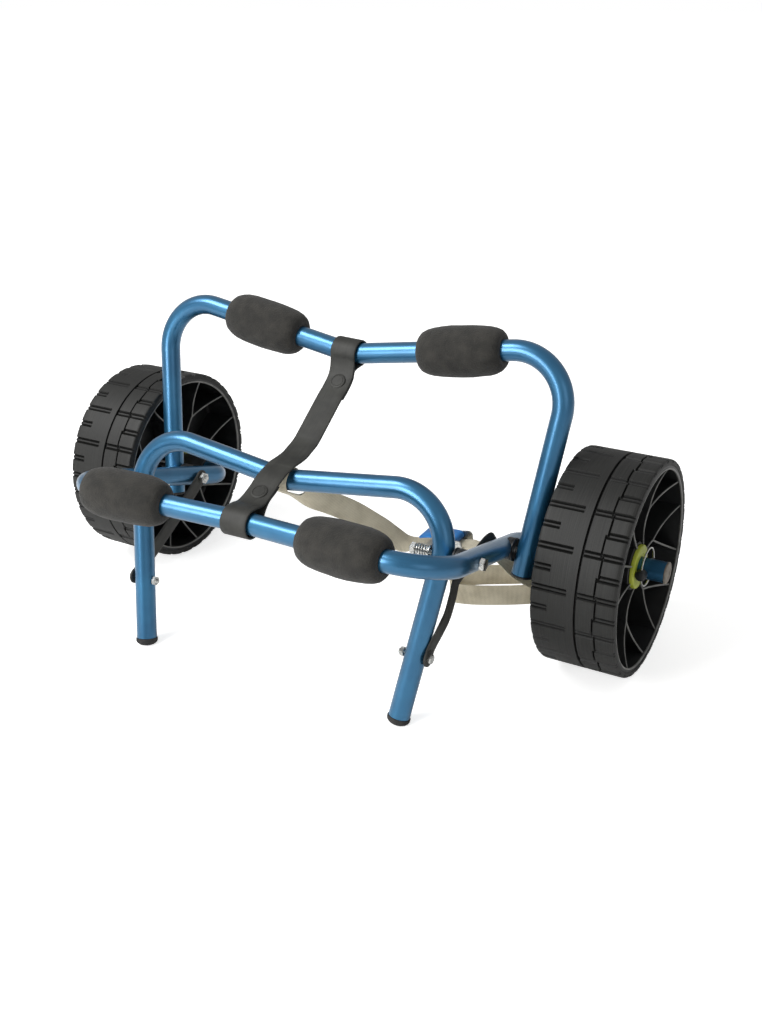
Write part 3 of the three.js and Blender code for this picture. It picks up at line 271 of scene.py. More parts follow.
def add_shell(skin, rings, loop=False, across=None, mark=0.0):
    """Joins rings of points into one closed shell. A ring of one point is a tip; open ends get a flat cap.
    Each corner keeps how far it lies along and across the shell in mm, and a mark, for the patterns and the
    wheel's painted edge highlight."""
    starts = []
    for ring in rings:
        starts.append(len(skin["points"]))
        skin["points"].extend(Vector(point) for point in ring)
    along = [0.0]
    for before, after in zip(rings, rings[1:]):
        pairs = zip(before, after) if len(before) == len(after) else zip(before[:1], after[:1])
        steps = [(Vector(b) - Vector(a)).length for a, b in pairs]
        along.append(along[-1] + sum(steps) / len(steps))
    widest = max(rings, key=len)
    sides = len(widest)
    if across is None:
        across = [0.0]
        for i in range(sides):
            across.append(across[-1] + (Vector(widest[(i + 1) % sides]) - Vector(widest[i])).length)
    else:
        across = list(across) + [across[0]]

    def add_face(corners):
        skin["faces"].append([corner[0] for corner in corners])
        skin["run"].extend((corner[1], corner[2], mark) for corner in corners)

    pairs = list(zip(range(len(rings)), range(1, len(rings))))
    if loop:
        pairs.append((len(rings) - 1, 0))
    for near, far in pairs:
        near_along = along[near]
        far_along = along[far] if far else along[near]
        for i in range(sides):
            j = (i + 1) % sides
            near_i = (starts[near] + i, near_along, across[i])
            near_j = (starts[near] + j, near_along, across[i + 1])
            far_i = (starts[far] + i, far_along, across[i])
            far_j = (starts[far] + j, far_along, across[i + 1])
            if len(rings[near]) == 1:
                add_face([(starts[near], near_along, across[i]), far_j, far_i])
            elif len(rings[far]) == 1:
                add_face([near_i, near_j, (starts[far], far_along, across[i])])
            else:
                add_face([near_i, near_j, far_j, far_i])
    if not loop:
        for end, order in ((0, -1), (len(rings) - 1, 1)):
            if len(rings[end]) > 2:
                add_face([(starts[end] + i, along[end], across[i]) for i in range(sides)][::order])
    return skin


def make_piece(name, skin, material, place=None, crease=32):
    """A mesh object in metres from a skin in millimetres, with its run along and across kept as 'run'."""
    mesh = bpy.data.meshes.new(name)
    points = [in_metres(place @ point if place else point) for point in skin["points"]]
    mesh.from_pydata(points, [], skin["faces"])
    run = mesh.attributes.new("run", "FLOAT_VECTOR", "CORNER")
    run.data.foreach_set("vector", [value for corner in skin["run"] for value in corner])
    shape = bmesh.new()
    shape.from_mesh(mesh)
    bmesh.ops.recalc_face_normals(shape, faces=shape.faces)
    shape.to_mesh(mesh)
    shape.free()
    mesh.shade_smooth()
    mesh.set_sharp_from_angle(angle=math.radians(crease))
    mesh.materials.append(material)
    piece = bpy.data.objects.new(name, mesh)
    scene.collection.objects.link(piece)
    return piece


def fix(piece, body, slot_name, *nodes):
    """Puts a piece on its body, in place of its CAD nodes. The slot name is not used."""
    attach(piece, body)
    if nodes:
        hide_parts(*nodes)
    return piece


def start_material(name, colour, roughness, metallic=0.0, **sockets):
    """A material whose shader has these settings; its node tree and shader are returned with it."""
    material = bpy.data.materials.new(name)
    material.use_nodes = True
    tree = material.node_tree
    tree.nodes.clear()
    settings = {"Base Color": linear(colour), "Roughness": roughness, "Metallic": metallic}
    settings.update({key.replace("_", " "): value for key, value in sockets.items()})
    shader = add_node(tree, "ShaderNodeBsdfPrincipled", settings)
    add_node(tree, "ShaderNodeOutputMaterial", None, {"Surface": shader.outputs[0]})
    return material, tree, shader


def noise_on(tree, scale, detail):
    """Noise that stays put on a piece, with this many cycles per metre."""
    place = add_node(tree, "ShaderNodeTexCoord")
    noise_node = add_node(tree, "ShaderNodeTexNoise", {"Scale": scale, "Detail": detail},
                          {"Vector": place.outputs["Object"]})
    return noise_node.outputs["Fac"]


def run_of(tree):
    """How far along and across its shell a point lies in mm, and its mark."""
    return add_node(tree, "ShaderNodeAttribute", {"attribute_name": "run"}).outputs["Vector"]


def noise_along(tree, scales, detail):
    """Noise drawn out along or across a piece, with these cycles per mm of its run."""
    stretch = add_node(tree, "ShaderNodeVectorMath", {"operation": "MULTIPLY", 1: scales}, {0: run_of(tree)})
    noise_node = add_node(tree, "ShaderNodeTexNoise", {"Scale": 1.0, "Detail": detail},
                          {"Vector": stretch.outputs[0]})
    return noise_node.outputs["Fac"]


def colours_by(tree, source, *stops):
    """Colours that follow a pattern between stops of (pattern's value, sRGB hex)."""
    stops = [(value, linear(colour)) for value, colour in stops]
    return add_node(tree, "ShaderNodeValToRGB", {"stops": stops}, {"Fac": source}).outputs["Color"]


def tint_by(tree, shader, source, *stops):
    tree.links.new(colours_by(tree, source, *stops), shader.inputs["Base Color"])


def gloss_by(tree, shader, source, low, high):
    """Roughness that follows a noise, which seldom leaves 0.3 to 0.7."""
    limits = {"From Min": 0.3, "From Max": 0.7, "To Min": low, "To Max": high}
    roughness = add_node(tree, "ShaderNodeMapRange", limits, {"Value": source})
    tree.links.new(roughness.outputs[0], shader.inputs["Roughness"])


def relief_by(tree, shader, source, strength, depth):
    """Fine relief that follows a pattern, this many mm deep."""
    bump = add_node(tree, "ShaderNodeBump", {"Strength": strength, "Distance": depth * MM},
                    {"Height": source})
    tree.links.new(bump.outputs[0], shader.inputs["Normal"])


# Drawn aluminium tube, etched and anodised blue under a clear seal: a satin metal whose highlights
# stay nearly white, with faint lines 0.8 mm apart along the tube from the drawing die.
anodised, tree, shader = start_material("anodised_aluminium_satin_blue", "#2a6a93", 0.34, 0.75,
                                        Coat_Weight=0.8, Coat_Roughness=0.26)
lines = noise_along(tree, (0.004, 1.25, 1.0), 2.0)
cloud = noise_on(tree, 22.0, 3.0)
tint_by(tree, shader, cloud, (0.3, "#26658d"), (0.7, "#30749d"))
gloss_by(tree, shader, lines, 0.28, 0.4)
relief_by(tree, shader, lines, 0.25, 0.1)

main_line = bent_line(both_halves([
    (AXLE_TUBE_HALF, 0, 0),
    (AXLE_CORNER_HALF, 0, AXLE_BEND),
    (MAIN_BAR_HALF, MAIN_LEG, MAIN_BEND),
    (0, MAIN_LEG - MAIN_BAR_DROP, APEX_BEND),
]))
rear_line = bent_line(both_halves([
    (rear_end_half, -REAR_LEG_TAIL, 0),
    (REAR_BAR_HALF, REAR_LEG, REAR_BEND),
    (0, REAR_LEG - REAR_BAR_DROP, APEX_BEND),
]))
kick_line = bent_line(both_halves([
    (kick_end_half, -kick_leg_drop, 0),
    (KICK_BAR_HALF, KICK_LEG, KICK_BEND),
    (0, KICK_LEG - KICK_BAR_DROP, APEX_BEND),
]))


def bent_tube(line):
    outside = tube_rings(line, TUBE_RADIUS, 40)
    bore = tube_rings(line, BORE_RADIUS, 40)
    return add_shell(new_skin(), outside + bore[::-1], loop=True)


fix(make_piece("main_frame_bent_tube", bent_tube(main_line), anodised, main_place),
    "main_frame", "anodised", "main_frame_tube")
fix(make_piece("rear_bunk_bent_tube", bent_tube(rear_line), anodised, rear_place),
    "rear_bunk", "anodised", "rear_bunk_tube")
fix(make_piece("kickstand_bent_tube", bent_tube(kick_line), anodised, kick_place),
    "kickstand", "anodised", "kickstand_tube")

# Bunk pads: barrels of closed-cell foam, turned from a moulded rod, bored tight and pushed along
# the bars with soapy water. The skin is matt and finely pitted, the ends are rounded over.
RUNNING_GAP = 0.4
MAIN_BAR = (MAIN_BAR_HALF, MAIN_LEG, MAIN_BAR_DROP)
REAR_BAR = (REAR_BAR_HALF, REAR_LEG, REAR_BAR_DROP)
PAD_LENGTH = 104
PAD_RADIUS = 30.2
PAD_UNEVENNESS = 0.7
PAD_PROFILE = [(1.0, 0.5), (1.0, 0.6), (0.975, 0.7), (0.92, 0.795), (0.82, 0.875), (0.68, 0.94), (0.48, 0.98),
               (0.25, 1.0), (0.0, 1.0)]

foam, tree, shader = start_material("closed_cell_foam_moulded", "#2c2b28", 0.9,
                                    Sheen_Weight=0.1, Sheen_Roughness=0.5)
place = add_node(tree, "ShaderNodeTexCoord")
pits = add_node(tree, "ShaderNodeTexVoronoi", {"Scale": 620.0}, {"Vector": place.outputs["Object"]})
dents = noise_on(tree, 75.0, 4.0)
tint_by(tree, shader, dents, (0.35, "#22211e"), (0.65, "#312f2b"))
fine = add_node(tree, "ShaderNodeBump", {"Strength": 0.8, "Distance": 0.6 * MM},
                {"Height": pits.outputs["Distance"]})
broad = add_node(tree, "ShaderNodeBump", {"Strength": 0.5, "Distance": 0.8 * MM},
                 {"Height": dents, "Normal": fine.outputs[0]})
tree.links.new(broad.outputs[0], shader.inputs["Normal"])


def foam_pad(name, body, frame_place, bar, across):
    bar_half, bar_along, drop = bar
    tilt = math.atan2(drop, bar_half)
    along_bar = Vector((math.cos(tilt), 0, math.copysign(math.sin(tilt), across)))
    middle = Vector((across, 0, bar_along - drop * (1 - abs(across) / bar_half)))
    half = PAD_LENGTH / 2
    profile = [(share * half, radius * PAD_RADIUS) for share, radius in PAD_PROFILE]
    profile = [(-along, radius) for along, radius in profile] + profile[-2::-1]
    bore = [(half, TUBE_RADIUS + RUNNING_GAP), (-half, TUBE_RADIUS + RUNNING_GAP)]
    rings = []
    for along, radius in profile + bore:
        centre = middle + along_bar * along
        ring = round_ring(centre, PLANE_NORMAL, along_bar.cross(PLANE_NORMAL), radius, 48)
        if radius > 0.55 * PAD_RADIUS:
            ring = [point + (point - centre).normalized() * noise.noise(point * 0.05) * PAD_UNEVENNESS
                    for point in ring]
        rings.append(ring)
    pad = make_piece(name + "_foam", add_shell(new_skin(), rings, loop=True), foam, frame_place, crease=60)
    fix(pad, body, "foam", name)


foam_pad("rear_left_pad", "rear_bunk", rear_place, REAR_BAR, across=-126)
foam_pad("rear_right_pad", "rear_bunk", rear_place, REAR_BAR, across=146)
foam_pad("main_left_pad", "main_frame", main_place, MAIN_BAR, across=-154)
foam_pad("main_right_pad", "main_frame", main_place, MAIN_BAR, across=136)

# Tube plugs and feet: moulded plastic plugs pushed into the ends of the axles, where they are a beige
# grey, and of the rear legs, where they are black, and moulded rubber feet pushed into the kickstand.
SEAT_GAP = 0.3
PLUG_LIP = 3
PLUG_DEPTH = 14
PLUG_OVERHANG = 0.6
FOOT_OVERHANG = 1
FOOT_DOME = 7.5

# Moulded polyethylene: matt, a beige grey that dust has made uneven.
grey_plastic, tree, shader = start_material("polyethylene_moulded_grey", "#7d756b", 0.55)
dust = noise_on(tree, 160.0, 4.0)
tint_by(tree, shader, dust, (0.35, "#6a645d"), (0.65, "#8b8175"))

# Moulded black polypropylene: a semi-matt skin with a fine spark-eroded grain of 0.6 mm.
black_plastic, tree, shader = start_material("polypropylene_moulded_black", "#1e1f20", 0.45)
grain = noise_on(tree, 1600.0, 2.0)
scuff = noise_on(tree, 90.0, 5.0)
tint_by(tree, shader, scuff, (0.4, "#191a1b"), (0.72, "#2e2f30"))
relief_by(tree, shader, grain, 0.35, 0.15)

# Moulded black rubber: duller than the plastic, with a grey bloom in patches.
black_rubber, tree, shader = start_material("rubber_moulded_black", "#232323", 0.75)
bloom = noise_on(tree, 120.0, 4.0)
tint_by(tree, shader, bloom, (0.4, "#1c1c1c"), (0.75, "#353432"))


def turned(profile, centre, axis, sides=40):
    """Rings round an axis. The profile's pairs are a place along the axis and a radius; 0 makes a tip."""
    axis = axis.normalized()
    first = axis.orthogonal().normalized()
    second = axis.cross(first)
    return [[centre + axis * along] if radius == 0 else
            round_ring(centre + axis * along, first, second, radius, sides) for along, radius in profile]


def plug_rings(end, outward):
    stem = BORE_RADIUS - SEAT_GAP
    lip = TUBE_RADIUS + PLUG_OVERHANG
    profile = [(-PLUG_DEPTH, 0), (-PLUG_DEPTH, stem - 1), (-PLUG_DEPTH + 1, stem), (SEAT_GAP, stem),
               (SEAT_GAP, lip - 0.3), (0.6, lip), (1.6, lip), (2.4, lip - 0.5), (PLUG_LIP, lip - 2),
               (PLUG_LIP, 7), (2.4, 6.2), (2.4, 0)]
    return turned(profile, end, outward)


def foot_rings(end, outward):
    stem = BORE_RADIUS - SEAT_GAP
    lip = TUBE_RADIUS + FOOT_OVERHANG
    angles = [math.radians(degrees) for degrees in range(0, 90, 9)]
    dome = [(PLUG_LIP + FOOT_DOME * math.sin(a), lip * math.cos(a)) for a in angles]
    skirt = [(-PLUG_DEPTH, 0), (-PLUG_DEPTH, stem), (SEAT_GAP, stem), (SEAT_GAP, lip - 0.4), (0.7, lip)]
    return turned(skirt + dome + [(PLUG_LIP + FOOT_DOME, 0)], end, outward)


SIDES = ((1, "right"), (-1, "left"))
for side, word in SIDES:
    axle_end = Vector((side * AXLE_TUBE_HALF, 0, 0))
    axle_plug = add_shell(new_skin(), plug_rings(axle_end, Vector((side, 0, 0))))
    fix(make_piece(f"{word}_axle_end_plug", axle_plug, grey_plastic, main_place),
        "main_frame", "grey_plastic", f"{word}_axle_plug")
    rear_end = Vector((side * rear_end_half, 0, -REAR_LEG_TAIL))
    rear_plug = add_shell(new_skin(), plug_rings(rear_end, Vector((-side * rear_splay, 0, -1))))
    fix(make_piece(f"{word}_leg_end_plug", rear_plug, black_plastic, rear_place),
        "rear_bunk", "black_plastic", f"{word}_rear_leg_plug")
    kick_end = Vector((side * kick_end_half, 0, -kick_leg_drop))
    foot_skin = add_shell(new_skin(), foot_rings(kick_end, Vector((-side * kick_splay, 0, -1))))
    rubber_foot = make_piece(f"{word}_rubber_foot", foot_skin, black_rubber, kick_place)
    for point in rubber_foot.data.vertices:  # the dome is worn flat where it stands
        point.co.z = max(point.co.z, 0.0)
    fix(rubber_foot, "kickstand", "black_rubber", f"{word}_foot")

# Saddles: moulded black plastic spacers that hold the pivoting legs off the main frame. Each sits
# against the main frame's leg and has a raised bearing ring on its flat face; the pivot bolt holds it.
REAR_SADDLE_RADIUS = 14
KICK_SADDLE_RADIUS = 12
SADDLE_WRAP = 4


def level_with(pivot, x):
    return Vector((x, pivot.y, pivot.z))


def saddle_rings(side, pivot, wrap_x, face_x, radius):
    """From inside the main frame's leg to the flat face, with a groove round the waist."""
    outward = 1 if face_x > wrap_x else -1
    length = abs(face_x - wrap_x)
    profile = [(0, 0), (0, radius - 1.2), (1, radius - 0.4)]
    face_steps = [(3.4, 0.4), (3.1, 1.1), (2.5, 1.1), (2.2, 0), (0.7, 0), (0, 0.8), (0, 3.2), (0.4, 3.6)]
    profile += [(length - before, radius - less) for before, less in face_steps] + [(length - 0.4, 0)]
    return turned(profile, level_with(pivot, side * wrap_x), Vector((side * outward, 0, 0)))


def lean_room(radius, splay):
    return radius * splay + SEAT_GAP


rear_leg_x = main_leg_at(REAR_PIVOT_ALONG)
kick_leg_x = main_leg_at(KICK_PIVOT_ALONG)
rear_face = rear_pivot_half - TUBE_RADIUS - lean_room(REAR_SADDLE_RADIUS, rear_splay)
kick_face = kick_pivot_half + TUBE_RADIUS + lean_room(KICK_SADDLE_RADIUS, kick_splay)
for side, word in SIDES:
    for name, pivot, wrap_x, face_x, radius in (
        ("rear", rear_pivot, rear_leg_x + SADDLE_WRAP, rear_face, REAR_SADDLE_RADIUS),
        ("kickstand", kick_pivot, kick_leg_x - SADDLE_WRAP, kick_face, KICK_SADDLE_RADIUS),
    ):
        skin = add_shell(new_skin(), saddle_rings(side, pivot, wrap_x, face_x, radius))
        fix(make_piece(f"{word}_{name}_spacer", skin, black_plastic),
            "main_frame", "black_plastic", f"{word}_{name}_saddle")

# Pivot hardware: M8 bolts with nuts, and M6 ones at the straps' lower ends, cold headed steel with
# rolled threads, bright zinc plated. A washer and a wound spring sit under each kickstand nut.
PIVOT_BOLT = {"shank": 4, "hex": 7.5, "head": 5.3, "nut": 6, "pitch": 1.25}
LIMIT_BOLT = {"shank": 3, "hex": 5.8, "head": 4, "nut": 5, "pitch": 1.0}
LIMIT_BOLT_ALONG = 118
BOLT_TAIL = 2
THREAD_TURNS = 14
NUT_CLEARANCE = 0.35
STRAP_THICKNESS = 2.4
STRAP_WIDTH = 20
WASHER_RADIUS = 9
WASHER_THICKNESS = 1.6
SPRING_RADIUS = 6.6
SPRING_WIRE = 2
SPRING_LENGTH = 16
SPRING_TURNS = 4.5

# Bright zinc plate over steel: a pale mirror, a little uneven and dulled in spots.
zinc, tree, shader = start_material("steel_zinc_plated_bright", "#c9cac8", 0.22, 1.0)
spots = noise_on(tree, 420.0, 4.0)
tint_by(tree, shader, spots, (0.35, "#a9aaa8"), (0.6, "#d6d6d2"))
gloss_by(tree, shader, spots, 0.38, 0.16)


def broken_edges(start, end, radius, along, inwards, bore):
    """The profile of a plain disc or bar whose two edges are broken by a small bevel."""
    return [(start, bore), (start, radius - inwards), (start + along, radius), (end - along, radius),
            (end, radius - inwards), (end, bore)]


def hex_rings(centre, axis, corner_radius, length, both_ends=True):
    """A hexagon along an axis whose corners are turned off at 30 degrees, at its start or at both ends."""
    axis = axis.normalized()
    first = Vector((0, 0, 1))
    second = axis.cross(first)
    flat = corner_radius * math.cos(math.pi / 6)
    drop = (corner_radius - flat) * math.tan(math.radians(30))
    levels = [(0, flat - 0.5), (drop, corner_radius)]
    if both_ends:
        levels += [(length - drop, corner_radius), (length, flat - 0.5)]
    else:
        levels.append((length, corner_radius))
    rings = []
    for along, limit in levels:
        ring = []
        for i in range(48):
            angle = 2 * math.pi * i / 48
            to_corner = (angle % (math.pi / 3)) - math.pi / 6
            reach = min(flat / math.cos(to_corner), limit)
            ring.append(centre + axis * along + (first * math.cos(angle) + second * math.sin(angle)) * reach)
        rings.append(ring)
    return rings


def shank_rings(centre, axis, size, length):
    """A shank whose last part carries a thread, drawn as rings at the thread's pitch."""
    radius, pitch = size["shank"], size["pitch"]
    profile = [(0, 0), (0, radius), (length - THREAD_TURNS * pitch, radius)]
    for turn_count in range(THREAD_TURNS, 0, -1):
        start = length - turn_count * pitch
        profile += [(start + pitch * 0.25, radius * 0.87), (start + pitch * 0.75, radius * 0.99)]
    return turned(profile + [(length, radius * 0.8), (length, 0)], centre, axis, 24)


def bolt_skin(side, pivot, head_from, tail_to, size):
    """Head outboard, shank and thread inboard."""
    inboard = Vector((-side, 0, 0))
    head_end = level_with(pivot, side * (head_from + size["head"]))
    skin = add_shell(new_skin(), hex_rings(head_end, inboard, size["hex"], size["head"], both_ends=False))
    start = level_with(pivot, side * (head_from + 1))
    return add_shell(skin, shank_rings(start, inboard, size, head_from + 1 - tail_to))


def nut_skin(side, pivot, nut_from, size):
    """A nut whose bore clears the shank, chamfered on both faces."""
    start = level_with(pivot, side * nut_from)
    outside = hex_rings(start, Vector((side, 0, 0)), size["hex"], size["nut"])
    bore = []
    for ring, along in ((outside[-1], size["nut"]), (outside[0], 0)):
        centre = start + Vector((side * along, 0, 0))
        reach = size["shank"] + NUT_CLEARANCE
        bore.append([centre + (point - centre).normalized() * reach for point in ring])
    return add_shell(new_skin(), outside + bore, loop=True)


def spring_skin(side, pivot, from_x, to_x):
    """A wound spring of even pitch along the pivot."""
    steps = round(SPRING_TURNS * 28)
    rings = []
    for i in range(steps + 1):
        share = i / steps
        angle = 2 * math.pi * SPRING_TURNS * share
        out = Vector((0, math.cos(angle), math.sin(angle)))
        heading = Vector((0, -math.sin(angle), math.cos(angle)))
        rise = (to_x - from_x) / (2 * math.pi * SPRING_TURNS * SPRING_RADIUS)
        heading = (heading + Vector((rise, 0, 0))).normalized()
        centre = Vector((from_x + (to_x - from_x) * share, 0, 0)) + out * SPRING_RADIUS
        ring = round_ring(centre, out, heading.cross(out), SPRING_WIRE / 2, 14)
        rings.append([Vector((side * p.x, p.y + pivot.y, p.z + pivot.z)) for p in ring])
    return add_shell(new_skin(), rings)


upper_tab_outer = rear_leg_x - TUBE_RADIUS - lean_room(STRAP_WIDTH / 2, main_splay)
rear_head_from = rear_pivot_half + TUBE_RADIUS + lean_room(PIVOT_BOLT["hex"], rear_splay)
rear_nut_from = upper_tab_outer - STRAP_THICKNESS - SEAT_GAP - PIVOT_BOLT["nut"]
kick_head_from = kick_leg_x + TUBE_RADIUS + lean_room(PIVOT_BOLT["hex"], main_splay)
washer_to = kick_pivot_half - TUBE_RADIUS - lean_room(WASHER_RADIUS, kick_splay)
spring_to = washer_to - WASHER_THICKNESS - SEAT_GAP - SPRING_WIRE / 2
spring_from = spring_to - SPRING_LENGTH + SPRING_WIRE
kick_nut_from = spring_from - SPRING_WIRE / 2 - SEAT_GAP - PIVOT_BOLT["nut"]
limit_leg_half = kick_pivot_half - kick_splay * LIMIT_BOLT_ALONG
lower_tab_inner = limit_leg_half + TUBE_RADIUS + lean_room(STRAP_WIDTH / 2, kick_splay)
limit_head_from = lower_tab_inner + STRAP_THICKNESS + SEAT_GAP
limit_nut_from = limit_leg_half - TUBE_RADIUS - lean_room(LIMIT_BOLT["hex"], kick_splay) - LIMIT_BOLT["nut"]
limit_bolt = kick_place @ Vector((0, 0, -LIMIT_BOLT_ALONG))

for side, word in SIDES:
    for name, body, pivot, head_from, nut_from, size in (
        ("rear_pivot", "main_frame", rear_pivot, rear_head_from, rear_nut_from, PIVOT_BOLT),
        ("kickstand_pivot", "main_frame", kick_pivot, kick_head_from, kick_nut_from, PIVOT_BOLT),
        ("limit_strap", "kickstand", limit_bolt, limit_head_from, limit_nut_from, LIMIT_BOLT),
    ):
        skin = bolt_skin(side, pivot, head_from, nut_from - BOLT_TAIL, size)
        fix(make_piece(f"{word}_{name}_hex_bolt", skin, zinc), body, "zinc_steel", f"{word}_{name}_bolt")
        skin = nut_skin(side, pivot, nut_from, size)
        fix(make_piece(f"{word}_{name}_hex_nut", skin, zinc), body, "zinc_steel", f"{word}_{name}_nut")
    hole = PIVOT_BOLT["shank"] + RUNNING_GAP
    edge = broken_edges(0, WASHER_THICKNESS, WASHER_RADIUS, 0.3, 0.2, hole)
    face = level_with(kick_pivot, side * washer_to)
    skin = add_shell(new_skin(), turned(edge, face, Vector((-side, 0, 0))), loop=True)
    fix(make_piece(f"{word}_flat_washer", skin, zinc), "main_frame", "zinc_steel", f"{word}_kickstand_washer")
    skin = spring_skin(side, kick_pivot, spring_from, spring_to)
    fix(make_piece(f"{word}_wound_spring", skin, zinc),
        "main_frame", "zinc_steel", f"{word}_kickstand_spring")

# Wheel bodies: one moulding of black polypropylene each, with a closed web, a hub boss, a rim and
# seven thin ribs on each face that fork on their way out. The ribs' free edges are dished.
WHEEL_HALF = 49
WHEEL_MIDDLE = 336.04
RIM_OUTER = 122.7
RIM_INNER = 118.2
WEB_HALF = 2.5
BOSS_RADIUS = 29
BOSS_FACE = 30.7
HUB_BORE = 16.3
RIB_COUNT = 7
RIB_THICKNESS = 3.2
RIB_FORK = 70
RIB_SPREAD = 15
RIB_TURN = 1.5
RIB_ROOT = 27.1
RIB_LOW_RADIUS = 58
RIB_LOW_HALF = 28.5

# Black polypropylene with a semi-matt skin, nearly black, while the ribs' free edges and the rim's lips
# carry a painted highlight: pale grey lines for the light those edges catch.
wheel_plastic, tree, shader = start_material("polypropylene_moulded_wheel", "#151617", 0.42)
mark = add_node(tree, "ShaderNodeSeparateXYZ", None, {0: run_of(tree)})
rub_and_highlight_noise = noise_on(tree, 60.0, 4.0)
skin_tint = colours_by(tree, rub_and_highlight_noise, (0.35, "#101112"), (0.7, "#1b1c1d"))
# The ribs' free edges and the rim's lips, marked 1, are mixed to pale grey: a painted highlight for the light
# they catch.
edge_highlight_tint = colours_by(tree, rub_and_highlight_noise, (0.3, "#5c5c5a"), (0.7, "#868683"))
edge_highlight_mix = add_node(tree, "ShaderNodeMix", {"data_type": "RGBA"},
                {0: mark.outputs["Z"], 6: skin_tint, 7: edge_highlight_tint})
tree.links.new(edge_highlight_mix.outputs[2], shader.inputs["Base Color"])
relief_by(tree, shader, rub_and_highlight_noise, 0.2, 0.2)


def wheel_middle(side):
    return Vector((side * WHEEL_MIDDLE, 0, AXLE_HEIGHT))


def rib_half_width(radius):
    """Half the width of a rib: lowest part way out, highest at the rim."""
    share = (radius - RIB_LOW_RADIUS) / (RIM_INNER - RIB_LOW_RADIUS)
    return RIB_LOW_HALF + (WHEEL_HALF - 3 - RIB_LOW_HALF) * share * share


def add_rib(skin, start, end, steps):
    """A drafted rib between two points of the wheel's plane, its free edges rounded and marked for a painted
    highlight.
    """
    heading = (end - start).normalized()
    aside = Vector((0, -heading.z, heading.y))
    base, crest = RIB_THICKNESS / 2, RIB_THICKNESS / 2 - 0.5
    flank_rings, edge_rings = [], {1: [], -1: []}
    for i in range(steps + 1):
        point = start.lerp(end, i / steps)
        half = rib_half_width(math.hypot(point.y, point.z))
        section = [(base, 0), (crest, half - 0.7), (-crest, half - 0.7), (-base, 0), (-crest, 0.7 - half),
                   (crest, 0.7 - half)]
        flank_rings.append([point + aside * out + Vector((x, 0, 0)) for out, x in section])
        for face in (1, -1):
            top = [(crest + 0.05, half - 1.2), (crest + 0.05, half - 0.6), (0.6, half - 0.1), (0, half),
                   (-0.6, half - 0.1), (-crest - 0.05, half - 0.6), (-crest - 0.05, half - 1.2)]
            edge_rings[face].append([point + aside * out + Vector((face * x, 0, 0)) for out, x in top])
    add_shell(skin, flank_rings)
    add_shell(skin, edge_rings[1], mark=1.0)
    add_shell(skin, edge_rings[-1], mark=1.0)


def wheel_skin():
    x_axis = Vector((1, 0, 0))
    origin = Vector((0, 0, 0))
    profile = [(-BOSS_FACE, HUB_BORE), (-BOSS_FACE, BOSS_RADIUS - 1), (-BOSS_FACE + 1, BOSS_RADIUS),
               (-WEB_HALF - 3, BOSS_RADIUS + 0.6), (-WEB_HALF, BOSS_RADIUS + 3.6), (-WEB_HALF, RIM_INNER - 3),
               (-WEB_HALF - 3, RIM_INNER), (-WHEEL_HALF + 1, RIM_INNER + 0.8)]
    profile += [(-WHEEL_HALF + 0.4, RIM_INNER + 1.2), (-WHEEL_HALF + 0.4, RIM_OUTER)]
    whole = profile + [(-along, radius) for along, radius in profile[::-1]]
    skin = add_shell(new_skin(), turned(whole, origin, x_axis, 96), loop=True)
    for face in (1, -1):
        lip = [(face * (WHEEL_HALF - 2.4), RIM_INNER + 0.2), (face * (WHEEL_HALF - 1.2), RIM_INNER - 0.5),
               (face * (WHEEL_HALF - 0.3), RIM_INNER - 0.2), (face * WHEEL_HALF, RIM_INNER + 0.7),
               (face * WHEEL_HALF, RIM_INNER + 1.6), (face * (WHEEL_HALF - 2.4), RIM_INNER + 1.6)]
        add_shell(skin, turned(lip, origin, x_axis, 96), loop=True, mark=1.0)
    for i in range(RIB_COUNT):
        degrees = RIB_TURN + 360 * i / RIB_COUNT

        def on_wheel(radius, angle):
            return Vector((0, radius * math.cos(math.radians(angle)), radius * math.sin(math.radians(angle))))

        fork = on_wheel(RIB_FORK, degrees)
        add_rib(skin, on_wheel(RIB_ROOT, degrees), fork, 8)
        add_rib(skin, fork, on_wheel(RIM_INNER + 1.5, degrees + RIB_SPREAD), 8)
        add_rib(skin, fork, on_wheel(RIM_INNER + 1.5, degrees - RIB_SPREAD), 8)
    return skin


for side, word in SIDES:
    wheel_place = Matrix.Translation(wheel_middle(side))
    fix(make_piece(f"{word}_ribbed_wheel", wheel_skin(), wheel_plastic, wheel_place),
        f"{word}_wheel", "wheel_plastic", f"{word}_wheel_body")

# Tyres: solid rings of moulded rubber, stretched over the rim. The tread has a wide plain band with
# short and long cross grooves, a row of blocks, and a narrower row with twice as many grooves.
WHEEL_RADIUS = 130
TREAD_PITCHES = 17
TREAD_PHASE = math.radians(2.7)
TREAD_STEPS = TREAD_PITCHES * 28
GROOVE_DEPTH = 3.5
GROOVE_WALL = 0.35
TYRE_INNER = 123
SHORT_GROOVE_SHARE = 0.21
LONG_GROOVE_SHARE = 0.43
BLOCKS_FROM_SHARE = 0.53
FIRST_RING_SHARE = 0.54
SECOND_RING_SHARE = 0.762
RING_STEP_SHARE = 0.012
SHOULDER_WIDTH = 4
SHOULDER_DROP = 2.2


def sum_of(tree, source, factor, other):
    """A pattern times a factor, plus another."""
    sum_node = add_node(tree, "ShaderNodeMath", {"operation": "MULTIPLY_ADD", 1: factor},
                        {0: source, 2: other})
    return sum_node.outputs[0]
